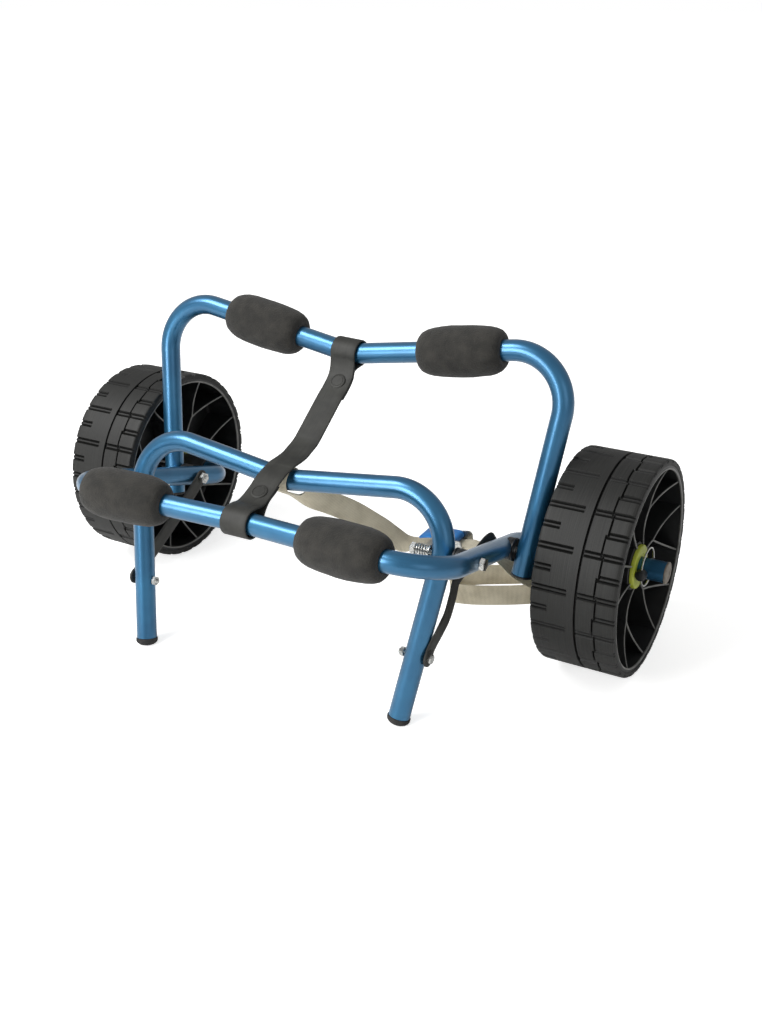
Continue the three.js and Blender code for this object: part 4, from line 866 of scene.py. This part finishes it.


# Tread rubber: dark grey, matt with a broad soft shine on top, greyer where the road has polished it in faint
# lines round the wheel, with painted shade, near black, in the grooves.
tread_rubber, tree, shader = start_material("tread_rubber_moulded", "#1c1c1b", 0.55,
                                            Specular_IOR_Level=0.4)
parts = add_node(tree, "ShaderNodeSeparateXYZ", None, {0: run_of(tree)})
polish = noise_along(tree, (0.9, 0.012, 0.0), 3.0)
speck = noise_on(tree, 700.0, 3.0)
mixed = sum_of(tree, speck, 0.35, polish)
tint = colours_by(tree, mixed, (0.45, "#141413"), (0.85, "#252523"))
# Groove depth, kept as the run's third value, blends the colour to near black: painted shade in the grooves.
groove_shade_tint = add_node(tree, "ShaderNodeMix", {"data_type": "RGBA", 7: linear("#0c0c0c")},
                      {0: parts.outputs["Z"], 6: tint})
tree.links.new(groove_shade_tint.outputs[2], shader.inputs["Base Color"])
relief_by(tree, shader, mixed, 0.3, 0.3)


def wave_in(angle, count, phase, radius):
    """Distance in mm round the tyre from the nearest of some evenly spaced lines."""
    pitch = 2 * math.pi / count
    nearest = round((angle - phase) / pitch) * pitch + phase
    return (angle - nearest) * radius


def cut(distance, half_width):
    """1 inside a groove of this half width, 0 outside, with steep walls."""
    return min(max((half_width - abs(distance)) / GROOVE_WALL + 0.5, 0.0), 1.0)


def double_line(distance):
    """A moulded cross groove: a shallow step between two thin deep lines."""
    lines = max(cut(distance - 2.3, 0.75), cut(distance + 2.3, 0.75))
    return max(lines, 0.28 * cut(distance, 2.3))


def groove_share(angle, x):
    """How deep the tread is cut at this place, from 0 to 1."""
    share = (x + WHEEL_HALF) / (2 * WHEEL_HALF)
    on_full = wave_in(angle, TREAD_PITCHES, TREAD_PHASE, WHEEL_RADIUS)
    on_half = wave_in(angle, TREAD_PITCHES, TREAD_PHASE + math.pi / TREAD_PITCHES, WHEEL_RADIUS)
    deep = 0.0
    if share < LONG_GROOVE_SHARE or share >= BLOCKS_FROM_SHARE:
        deep = max(deep, double_line(on_full))
    if share < SHORT_GROOVE_SHARE:
        deep = max(deep, double_line(on_half))
    step = RING_STEP_SHARE if math.sin((angle - TREAD_PHASE) * TREAD_PITCHES) > 0 else -RING_STEP_SHARE
    second = SECOND_RING_SHARE + step
    if share > second:
        deep = max(deep, double_line(on_half))
    first_ring = cut((share - FIRST_RING_SHARE) * 2 * WHEEL_HALF, 1.1)
    return max(deep, first_ring, cut((share - second) * 2 * WHEEL_HALF, 0.9))


def tyre_skin():
    """The tread as rings round the wheel, each point let in by its groove, closed by walls and a bore."""
    marks = [0.0, 0.006, 0.02, 0.045, 0.1, 0.16, 0.2, 0.207, 0.213, 0.22, 0.3, 0.38, 0.424, 0.43, 0.436, 0.48,
             0.525, 0.5285, 0.532, 0.54, 0.548, 0.5515, 0.555, 0.6, 0.67, 0.73, 0.7385, 0.742, 0.75, 0.758,
             0.7615, 0.7635, 0.767, 0.775, 0.783, 0.7865, 0.8, 0.86, 0.92, 0.955, 0.98, 0.994, 1.0]
    columns = [share * 2 * WHEEL_HALF - WHEEL_HALF for share in marks]
    skin = new_skin()
    depths = []
    for i in range(TREAD_STEPS):
        angle = 2 * math.pi * i / TREAD_STEPS
        direction = Vector((0, math.cos(angle), math.sin(angle)))
        depths.append([groove_share(angle, x) for x in columns] + [0.0, 0.0])
        for x, deep in zip(columns, depths[i]):
            edge = max(abs(x) - (WHEEL_HALF - SHOULDER_WIDTH), 0) / SHOULDER_WIDTH
            shoulder = SHOULDER_DROP * (1 - math.sqrt(max(1 - edge * edge, 0)))
            radius = WHEEL_RADIUS - shoulder - GROOVE_DEPTH * deep * (1 - 0.3 * edge)
            skin["points"].append(direction * radius + Vector((x, 0, 0)))
        for x in (WHEEL_HALF, -WHEEL_HALF):
            skin["points"].append(direction * TYRE_INNER + Vector((x, 0, 0)))
    across = columns + [0.0, 0.0]
    width = len(across)
    for i in range(TREAD_STEPS):
        k = (i + 1) % TREAD_STEPS
        for j in range(width):
            m = (j + 1) % width
            corners = [(i, j, i), (i, m, i), (k, m, i + 1), (k, j, i + 1)]
            skin["faces"].append([row * width + column for row, column, step in corners])
            skin["run"].extend((across[column], step * 2 * math.pi * WHEEL_RADIUS / TREAD_STEPS,
                                depths[row][column]) for row, column, step in corners)
    return skin


for side, word in SIDES:
    wheel_place = Matrix.Translation(wheel_middle(side))
    fix(make_piece(f"{word}_tread_ring", tyre_skin(), tread_rubber, wheel_place, crease=28),
        f"{word}_wheel", "tread", f"{word}_tyre")

# Hub bushes and spacer sleeves: a flanged bearing pressed into each side of each hub, moulded in
# lime green acetal, and a black sleeve on the axle that keeps the wheel off the tube's bend.
HUB_FACE = 36
FLANGE_RADIUS = 26.5
FLANGE_THICKNESS = 5
BUSH_RADIUS = 16
BUSH_LENGTH = 26
SLEEVE_WALL = 3.2

# Dyed acetal: a satin skin with faint flow marks, in the tint and as slight relief.
lime_plastic, tree, shader = start_material("acetal_moulded_lime", "#b4be3a", 0.4)
flow = noise_on(tree, 90.0, 4.0)
tint_by(tree, shader, flow, (0.3, "#a3ae31"), (0.7, "#c3cb4b"))
relief_by(tree, shader, flow, 0.15, 0.2)


def bush_rings(centre, outward):
    bore = TUBE_RADIUS + RUNNING_GAP
    flange_from = HUB_FACE - FLANGE_THICKNESS
    sleeve_end = flange_from - BUSH_LENGTH
    profile = [(sleeve_end, bore), (sleeve_end, BUSH_RADIUS), (flange_from, BUSH_RADIUS),
               (flange_from, FLANGE_RADIUS - 0.4), (flange_from + 0.5, FLANGE_RADIUS)]
    profile += [(HUB_FACE - 1.6, FLANGE_RADIUS), (HUB_FACE - 0.5, FLANGE_RADIUS - 0.6),
                (HUB_FACE, FLANGE_RADIUS - 1.8), (HUB_FACE, bore + 3.4), (HUB_FACE - 0.5, bore + 3),
                (HUB_FACE - 0.5, bore)]
    return turned(profile, centre, outward, 64)


axle_turn = math.pi / 2 + math.atan(main_splay)
bend_end = AXLE_CORNER_HALF + AXLE_BEND * math.tan(axle_turn / 2) + SEAT_GAP
sleeve_bore = TUBE_RADIUS + RUNNING_GAP
sleeve_end = WHEEL_MIDDLE - HUB_FACE - SEAT_GAP
sleeve = broken_edges(bend_end, sleeve_end, sleeve_bore + SLEEVE_WALL, 0.6, 0.6, sleeve_bore)

for side, word in SIDES:
    for facing, name in ((side, "outer"), (-side, "inner")):
        skin = add_shell(new_skin(), bush_rings(wheel_middle(side), Vector((facing, 0, 0))), loop=True)
        fix(make_piece(f"{word}_{name}_hub_bush", skin, lime_plastic),
            f"{word}_wheel", "lime_plastic", f"{word}_{name}_bush")
    rings = turned(sleeve, Vector((0, 0, AXLE_HEIGHT)), Vector((side, 0, 0)))
    fix(make_piece(f"{word}_spacer_sleeve", add_shell(new_skin(), rings, loop=True), black_plastic),
        "main_frame", "black_plastic", f"{word}_axle_spacer")

# Retaining pins: a pin with a black moulded head through each stub axle, and a ring of sprung and
# zinc plated wire through the head that snaps round the axle's end.
PIN_X = 378.84
PIN_HEAD_RADIUS = 6.5
PIN_HEAD_LENGTH = 10
PIN_RADIUS = 3
RING_RADIUS = 23
RING_WIRE = 2.2
RING_OFFSET = 4

for side, word in SIDES:
    pin_line = Vector((side * PIN_X, 0, AXLE_HEIGHT))
    front = RING_OFFSET - RING_RADIUS
    tip = RING_OFFSET + RING_RADIUS - RING_WIRE / 2 - SEAT_GAP
    head_from, head_to = front - PIN_HEAD_LENGTH / 2, front + PIN_HEAD_LENGTH / 2
    head = [(head_from, 0), (head_from, 4.6), (head_from + 0.9, PIN_HEAD_RADIUS - 0.4),
            (head_from + 2, PIN_HEAD_RADIUS), (head_to - 1.2, PIN_HEAD_RADIUS),
            (head_to, PIN_HEAD_RADIUS - 1.2), (head_to, PIN_RADIUS), (tip - 1.5, PIN_RADIUS),
            (tip, PIN_RADIUS - 1.5), (tip, 0)]
    skin = add_shell(new_skin(), turned(head, pin_line, Vector((0, 1, 0)), 32))
    fix(make_piece(f"{word}_headed_pin", skin, black_plastic),
        "main_frame", "black_plastic", f"{word}_retaining_pin")
    rings = []
    for i in range(72):
        angle = 2 * math.pi * i / 72
        out = Vector((0, math.cos(angle), math.sin(angle)))
        centre = pin_line + Vector((0, RING_OFFSET, 0)) + out * RING_RADIUS
        rings.append(round_ring(centre, out, Vector((1, 0, 0)), RING_WIRE / 2, 12))
    skin = add_shell(new_skin(), rings, loop=True)
    fix(make_piece(f"{word}_snap_ring", skin, zinc), f"{word}_ring", "zinc_steel", f"{word}_pin_ring")

# Limit straps: flat bands of moulded black elastomer with a punched eye at each end, held by the rear
# pivot bolt and by the kickstand's bolt. They stop the kickstand from opening further.
LIMIT_ROUTES = {
    1: [(0, 0.04, 0.11), (0.85, 0.12, 0.36), (1, 0.225, 0.52), (1, 0.31, 0.76), (0.9, 0.38, 0.97),
        (0.8, 0.53, 1.04), (0.8, 0.72, 1.08), (0.85, 0.87, 1.13), (0.95, 0.955, 1.11)],
    -1: [(0.1, 0.09, 0.08), (0.35, 0.22, 0.18), (0.55, 0.4, 0.35), (0.75, 0.62, 0.57), (0.9, 0.82, 0.79)],
}

# Elastomer band: matt, greyish black, with faint lengthwise extrusion lines and handling marks.
strap_rubber, tree, shader = start_material("elastomer_band_moulded", "#343431", 0.6)
band = noise_along(tree, (0.02, 0.7, 0.0), 3.0)
handled = noise_on(tree, 60.0, 5.0)
mixed = sum_of(tree, band, 0.5, handled)
tint_by(tree, shader, mixed, (0.55, "#232320"), (0.95, "#32322e"))
relief_by(tree, shader, mixed, 0.3, 0.2)


def smooth_run(knots, steps):
    """Points and widths on a smooth curve through knots of (point, width direction)."""
    points = [knot[0] for knot in knots]
    padded = [2 * points[0] - points[1]] + points + [2 * points[-1] - points[-2]]
    result = []
    for i in range(steps + 1):
        whole = i / steps * (len(points) - 1)
        first = min(int(whole), len(points) - 2)
        share = whole - first
        p0, p1, p2, p3 = padded[first:first + 4]
        gaps = [max((b - a).length ** 0.5, 1e-4) for a, b in ((p0, p1), (p1, p2), (p2, p3))]
        start_slope = ((p1 - p0) / gaps[0] - (p2 - p0) / (gaps[0] + gaps[1]) + (p2 - p1) / gaps[1]) * gaps[1]
        end_slope = ((p2 - p1) / gaps[1] - (p3 - p1) / (gaps[1] + gaps[2]) + (p3 - p2) / gaps[2]) * gaps[1]
        s2, s3 = share * share, share ** 3
        point = (p1 * (2 * s3 - 3 * s2 + 1) + start_slope * (s3 - 2 * s2 + share)
                 + p2 * (3 * s2 - 2 * s3) + end_slope * (s3 - s2))
        width = knots[first][1].lerp(knots[first + 1][1], share).normalized()
        result.append((point, width))
    return result


def band_rings(path, width, thickness):
    """Rings of a flat band with rounded edges along a path of points and width directions."""
    half, through = width / 2, thickness / 2
    edge = half - 0.3 * through
    right = [(0, -through), (half / 2, -through), (half - through, -through), (edge, -0.7 * through),
             (half, 0), (edge, 0.7 * through), (half - through, through), (half / 2, through), (0, through)]
    left = [(-across, above) for across, above in right[-2:0:-1]]
    section = left[-2:] + right + left[:-2]
    rings = []
    for i, (point, across) in enumerate(path):
        heading = (path[min(i + 1, len(path) - 1)][0] - path[max(i - 1, 0)][0]).normalized()
        across = (across - heading * across.dot(heading)).normalized()
        above = heading.cross(across)
        rings.append([point + across * a + above * b for a, b in section])
    return rings, [a for a, b in section]


def mirrored(point, side):
    return level_with(point, side * point.x)


def limit_strap_skin(side):
    lower = level_with(limit_bolt, lower_tab_inner + STRAP_THICKNESS / 2)
    upper = level_with(rear_pivot, upper_tab_outer - STRAP_THICKNESS / 2)
    span = upper - lower
    between = [lower + Vector((span.x * x, span.y * y, span.z * z)) for x, y, z in LIMIT_ROUTES[side]]
    points = [lower] + between + [upper]
    knots = []
    for i, point in enumerate(points):
        heading = points[min(i + 1, len(points) - 1)] - points[max(i - 1, 0)]
        knots.append((point, heading.cross(Vector((1, 0, 0))).normalized()))
    path = [(mirrored(point, side), mirrored(across, side)) for point, across in smooth_run(knots, 72)]
    rings, across = band_rings(path, STRAP_WIDTH, STRAP_THICKNESS)
    skin = add_shell(new_skin(), rings, across=across)
    half = STRAP_THICKNESS / 2 + 0.25
    for centre, bolt in ((lower, LIMIT_BOLT), (upper, PIVOT_BOLT)):
        eye = broken_edges(-half, half, STRAP_WIDTH / 2, 0.5, 0.5, bolt["shank"] + RUNNING_GAP)
        add_shell(skin, turned(eye, mirrored(centre, side), Vector((1, 0, 0))), loop=True)
    return skin


for side, word in SIDES:
    strap = make_piece(f"{word}_limit_band", limit_strap_skin(side), strap_rubber, crease=60)
    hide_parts(f"{word}_limit_strap")
    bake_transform(strap)

# Centre strap: one flat band of the same elastomer, looped round the bars of the rear bunk and the
# main frame, lying over the kickstand's bar. Each loop is closed by a button moulded with the band.
# It is drawn in three lengths that meet flush; the middle length and the main loop are put on the main frame.
KICK_BAR = (KICK_BAR_HALF, KICK_LEG, KICK_BAR_DROP)
CENTRE_WIDTH = 34
CENTRE_PLACE = -4
CENTRE_SLACK = 2.4
FOLD_GAP = 0.4
LAYER_GAP = 0.7
WEB_THICKNESS = 1.5
WEB_SLACK = 1.4
SNAP_RADIUS = 10
SNAP_HEIGHT = 1.2
STUD_RADIUS = 7

strap_loop = TUBE_RADIUS + CENTRE_SLACK + STRAP_THICKNESS / 2
web_loop = TUBE_RADIUS + WEB_SLACK + WEB_THICKNESS / 2
strap_over = web_loop + WEB_THICKNESS / 2 + LAYER_GAP + STRAP_THICKNESS / 2
layer_step = STRAP_THICKNESS + FOLD_GAP


def bar_at(frame_place, bar, across, width, dip_share):
    """Where a strap crosses a bar, let down by a share of the bar's dip below the strap's edges."""
    bar_half, bar_along, drop = bar
    slope = drop / bar_half
    low, high = [bar_along - drop + slope * abs(across + edge * width / 2) for edge in (-1, 1)]
    tilt = (high - low) / width
    chord = (high + low) / 2
    dip = chord - tilt * across - (bar_along - drop) if abs(across) < width / 2 else 0
    point = frame_place @ Vector((across, 0, chord - dip_share * dip))
    return point, (frame_place.to_3x3() @ Vector((1, 0, tilt))).normalized()


def arc_round(bar, radius, from_degrees, to_degrees, steps):
    centre, width = bar
    back = (Vector((0, 1, 0)) - width * width.y).normalized()
    up = width.cross(back)
    path = []
    for i in range(steps + 1):
        angle = math.radians(from_degrees + (to_degrees - from_degrees) * i / steps)
        path.append((centre + back * radius * math.cos(angle) + up * radius * math.sin(angle), width))
    return path


def beside_bar(bar, places):
    """Places in the cart's side view, each as shares of the strap loop's radius back and up from a bar."""
    centre, width = bar
    return [(centre + Vector((0, back, up)) * strap_loop, width) for back, up in places]


def layer_under(run_of_strap):
    """The layer that lies under a run of the strap, against its inner face."""
    under = []
    for i, (point, width) in enumerate(run_of_strap):
        ends = run_of_strap[max(i - 1, 0)][0], run_of_strap[min(i + 1, len(run_of_strap) - 1)][0]
        heading = (ends[1] - ends[0]).normalized()
        under.append((point + width.cross(heading) * layer_step, width))
    return under


def add_button(skin, from_knot, to_knot):
    """A low round cap on the strap with a groove inside its rim, and its stud beneath."""
    start, width = from_knot
    end = to_knot[0]
    along = (end - start).normalized()
    above = along.cross(width).normalized()
    top = STRAP_THICKNESS / 2
    low = -layer_step - top
    profile = [(low - SNAP_HEIGHT, 0), (low - SNAP_HEIGHT, STUD_RADIUS - 0.8), (low - 0.4, STUD_RADIUS),
               (0, STUD_RADIUS), (0, SNAP_RADIUS - 0.2), (top + 0.5, SNAP_RADIUS)]
    rim_steps = [(0.3, 0.5), (0, 1.3), (0, 2.2), (0.5, 2.5), (0.5, 3), (0.1, 3.3)]
    profile += [(top + SNAP_HEIGHT - lower, SNAP_RADIUS - inwards) for lower, inwards in rim_steps]
    profile.append((top + SNAP_HEIGHT - 0.1, 0))
    return add_shell(skin, turned(profile, start.lerp(end, 0.5), above, 48))


rear_bar = bar_at(rear_place, REAR_BAR, CENTRE_PLACE, CENTRE_WIDTH, 0.5)
kick_bar = bar_at(kick_place, KICK_BAR, CENTRE_PLACE, CENTRE_WIDTH, 0)
main_bar = bar_at(main_place, MAIN_BAR, CENTRE_PLACE, CENTRE_WIDTH, 0.5)
rear_sag = (beside_bar(rear_bar, [(-2.9, -2.57), (-4.4, -3.56), (-5.9, -4.57)])
            + beside_bar(kick_bar, [(3, 1.6), (1.5, 1.12)]))
rear_run = beside_bar(rear_bar, [(-1.12, -0.95), (-1.4, -1.5), (-2.15, -2.12)]) + smooth_run(rear_sag, 9)
main_run = beside_bar(main_bar, [(4.1, 1.98), (3.25, 1.63), (2.85, 1.42), (1.93, 1.04), (1.2, 0.88),
                                 (0.5, 0.99)])
behind_bar = beside_bar(main_bar, [(1.22, 0), (1.5, 0.42)])
rear_knots = (layer_under(rear_run[:4])[::-1] + arc_round(rear_bar, strap_loop, -57, 193, 12) + rear_run
              + arc_round(kick_bar, strap_over, 84, 112, 3))
main_knots = arc_round(main_bar, strap_loop, 96, 335, 12) + behind_bar + layer_under(main_run[1:4])[::-1]
knots = rear_knots + main_run + main_knots
strap_path = smooth_run(knots, 4 * (len(knots) - 1))
rear_end = 4 * (len(rear_knots) - 1)
main_start = 4 * (len(rear_knots) + len(main_run))
under_start = 4 * (len(knots) - 3)
for name, lengths, snap in (
    ("rear_loop_band", [strap_path[:rear_end + 1]], rear_run[1:3]),
    ("middle_band", [strap_path[rear_end:main_start + 1], strap_path[under_start:]], main_run[2:4]),
    ("main_loop_band", [strap_path[main_start:under_start + 1]], None),
):
    centre_skin = new_skin()
    for length in lengths:
        rings, across = band_rings(length, CENTRE_WIDTH, STRAP_THICKNESS)
        add_shell(centre_skin, rings, across=across)
    if snap:
        add_button(centre_skin, *snap)
    centre_band = make_piece(name, centre_skin, strap_rubber, crease=50)
    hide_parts("centre_strap")
    if name == "rear_loop_band":
        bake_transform(centre_band)
    else:
        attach(centre_band, "main_frame")
    if name == "middle_band":
        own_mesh(centre_band)

# Tie-down webbing: 28 mm woven polyester, sewn round the kickstand's bar, run through the buckle and
# left with its tail folded in a flat hank. Its weave makes cross ribs 1.6 mm apart.
WEB_WIDTH = 28
WEFT_PITCH = 1.6
WARP_PITCH = 2.5
WEB_PLACE = -5
WEB_RUN = [(0, -160, 210, 1, 0.05, 0.05), (20, -140, 200, 0.5, 0.5, 0.7), (46, -112, 179, 0.24, 0.57, 0.79),
           (71, -86, 151, 0.24, 0.7, 0.6), (94, -62, 125, 0.1, 0.95, 0.2)]
WEB_TAIL = [(204, -45, 131, 0, 0.97, -0.2), (232, -30, 106, -0.1, 0.75, 0.6), (256, -6, 85, 0, 0.3, 0.95),
            (267, 18, 76, 0, 0, 1), (262, 36, 73, 0, 0, 1), (248, 38, 72, 0, 0, 1), (204, 17, 70, 0, 0, 1),
            (162, -4, 68, 0, 0, 1), (148, -11, 65, 0, 0, 1), (140, -18, 61, 0, 0, 1), (139, -26, 57, 0, 0, 1),
            (146, -32, 54, 0, 0, 1), (160, -28, 52, 0, 0, 1), (205, -5, 51, 0, 0, 1), (250, 18, 54, 0, 0, 1)]
WEB_SEWN_END = [(-5, -141, 212, 1, 0, 0), (-5, -151, 222, 1, 0, 0)]
BUCKLE_PLACE = Matrix.Translation((148, -48, 128)) @ Matrix.Rotation(math.radians(-10), 4, "Y")
BUCKLE_LENGTH = 58
BUCKLE_WALL = 2

# Undyed polyester: pale beige, matt, its weft showing as fine ribs that zigzag across the band with painted
# shade darkening the troughs, cloudy where it has faded, and with a slight fuzz that catches the light.
webbing, tree, shader = start_material("polyester_webbing_woven", "#cac1a8", 0.85,
                                       Sheen_Weight=0.35, Sheen_Roughness=0.4)
parts = add_node(tree, "ShaderNodeSeparateXYZ", None, {0: run_of(tree)})
rib_turns = add_node(tree, "ShaderNodeMath", {"operation": "MULTIPLY", 1: 2 * math.pi / WEFT_PITCH},
                     {0: parts.outputs["X"]})
warp_turns = add_node(tree, "ShaderNodeMath", {"operation": "MULTIPLY", 1: 2 * math.pi / WARP_PITCH},
                      {0: parts.outputs["Y"]})
shifted = add_node(tree, "ShaderNodeMath", {"operation": "SINE"}, {0: warp_turns.outputs[0]})
zigzag = sum_of(tree, shifted.outputs[0], 0.9, rib_turns.outputs[0])
rib = add_node(tree, "ShaderNodeMath", {"operation": "SINE"}, {0: zigzag})
rib_height = add_node(tree, "ShaderNodeMath", {"operation": "MULTIPLY_ADD", 1: 0.5, 2: 0.5},
                      {0: rib.outputs[0]})
fade = noise_on(tree, 45.0, 4.0)
mixed = sum_of(tree, rib_height.outputs[0], 0.5, fade)
# The rib height tints the crests pale and the troughs dark: painted shade in the weave; the fade cloud is the
# band's own tone.
tint_by(tree, shader, mixed, (0.35, "#a59a80"), (0.95, "#e3dac2"))
relief_by(tree, shader, rib_height.outputs[0], 0.7, 0.4)


def web_knots(rows):
    return [(Vector(row[:3]), Vector(row[3:]).normalized()) for row in rows]


strip_height = BUCKLE_WALL / 2 + SEAT_GAP + WEB_THICKNESS / 2
web_bar = bar_at(kick_place, KICK_BAR, WEB_PLACE, WEB_WIDTH, 0.5)
buckle_in, buckle_out = [(BUCKLE_PLACE @ Vector((x, 0, strip_height)), Vector((0, 1, 0)))
                         for x in (-BUCKLE_LENGTH / 2, BUCKLE_LENGTH / 2)]
web_round = arc_round(web_bar, web_loop, 20, 232, 24)
web_path = (smooth_run(web_knots(WEB_SEWN_END) + [web_round[0]], 12)[:-1] + web_round
            + smooth_run([web_round[-1]] + web_knots(WEB_RUN) + [buckle_in], 60)[1:]
            + smooth_run([buckle_out] + web_knots(WEB_TAIL), 150))
rings, across = band_rings(web_path, WEB_WIDTH, WEB_THICKNESS)
tie_down = make_piece("tie_down_band", add_shell(new_skin(), rings, across=across), webbing, crease=60)
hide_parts("tie_down_webbing")
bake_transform(tie_down)

# Cam buckle: a body of pressed and zinc plated steel with two cheeks, a moulded blue lever whose cam
# bites the webbing, and the steel pin that the lever turns on.
BUCKLE_HALF = 16.5
CHEEK_PLACE = 6
CHEEK_HALF = 19
CHEEK_HEIGHT = 13
LEVER_PIN_X = 9
PIN_SHANK = 2
CAM_RADIUS = 5.6
LEVER_REACH = 42
LEVER_THICKNESS = 2.6
LEVER_RISE = 3.4
cam_height = strip_height + WEB_THICKNESS / 2 + SEAT_GAP + CAM_RADIUS
cheek_inner = BUCKLE_HALF - BUCKLE_WALL

# Dyed and moulded nylon: deep blue with a soft shine and a fine mould grain of 0.5 mm.
blue_plastic, tree, shader = start_material("nylon_moulded_blue", "#1272bd", 0.35)
grain = noise_on(tree, 1900.0, 2.0)
flow = noise_on(tree, 120.0, 3.0)
tint_by(tree, shader, flow, (0.3, "#0d68b0"), (0.7, "#1d7cc8"))
relief_by(tree, shader, grain, 0.3, 0.1)


def add_slab(skin, outline, from_y, to_y, edge=0.4):
    """An outline in x and z given a thickness along Y, with its edges broken by a small bevel."""
    middle = sum((Vector((x, 0, z)) for x, z in outline), Vector()) / len(outline)
    rings = []
    for y, inset in ((from_y, edge), (from_y + edge, 0), (to_y - edge, 0), (to_y, edge)):
        ring = []
        for x, z in outline:
            inward = (middle - Vector((x, 0, z))).normalized() * inset
            ring.append(Vector((x, y, z)) + inward)
        rings.append(ring)
    return add_shell(skin, rings)


def rounded_outline(corners, radius, steps=5):
    """An outline whose corners are rounded to this radius where there is room."""
    outline = []
    count = len(corners)
    for i in range(count):
        corner = Vector(corners[i])
        before = Vector(corners[i - 1]) - corner
        after = Vector(corners[(i + 1) % count]) - corner
        reach = min(radius, before.length / 2.2, after.length / 2.2)
        start, end = corner + before.normalized() * reach, corner + after.normalized() * reach
        for step in range(steps + 1):
            t = step / steps
            outline.append(tuple(start * (1 - t) ** 2 + corner * 2 * t * (1 - t) + end * t * t))
    return outline


body_skin = new_skin()
base = rounded_outline([(-BUCKLE_LENGTH / 2, -1), (BUCKLE_LENGTH / 2, -1), (BUCKLE_LENGTH / 2, 1),
                        (-BUCKLE_LENGTH / 2, 1)], 0.9, 3)
add_slab(body_skin, base, -BUCKLE_HALF, BUCKLE_HALF, 0.3)
cheek = rounded_outline([(CHEEK_PLACE - CHEEK_HALF, -1), (CHEEK_PLACE + CHEEK_HALF, -1),
                         (CHEEK_PLACE + CHEEK_HALF, CHEEK_HEIGHT), (CHEEK_PLACE - 2, CHEEK_HEIGHT),
                         (CHEEK_PLACE - CHEEK_HALF, 2)], 6)
add_slab(body_skin, cheek, cheek_inner, BUCKLE_HALF)
add_slab(body_skin, cheek, -BUCKLE_HALF, -cheek_inner)
fix(make_piece("pressed_buckle", body_skin, zinc, BUCKLE_PLACE), "main_frame", "zinc_steel", "buckle_body")

lever_half = cheek_inner - SEAT_GAP
top = cam_height + CAM_RADIUS
tip = LEVER_PIN_X - LEVER_REACH
crest = tip + LEVER_REACH / 3
arm = rounded_outline([(LEVER_PIN_X, top - LEVER_THICKNESS), (LEVER_PIN_X + 1, top),
                       (crest, top + LEVER_RISE), (tip, top + LEVER_RISE / 2),
                       (tip, top + LEVER_RISE / 2 - LEVER_THICKNESS),
                       (crest, top + LEVER_RISE - LEVER_THICKNESS)], 4)
lever_skin = add_slab(new_skin(), arm, -lever_half, lever_half, 0.6)
pin_line = Vector((LEVER_PIN_X, 0, cam_height))
cam = broken_edges(-lever_half, lever_half, CAM_RADIUS, 0.5, 0.5, PIN_SHANK + SEAT_GAP)
add_shell(lever_skin, turned(cam, pin_line, Vector((0, 1, 0))), loop=True)
fix(make_piece("moulded_lever", lever_skin, blue_plastic, BUCKLE_PLACE), "lever", "blue_lever", "cam_lever")
pin_end = BUCKLE_HALF + SEAT_GAP
pin_rings = turned(broken_edges(-pin_end, pin_end, PIN_SHANK, 0.4, 0.4, 0), pin_line, Vector((0, 1, 0)), 24)
fix(make_piece("riveted_lever_pin", add_shell(new_skin(), pin_rings), zinc, BUCKLE_PLACE),
    "main_frame", "zinc_steel", "lever_pin")
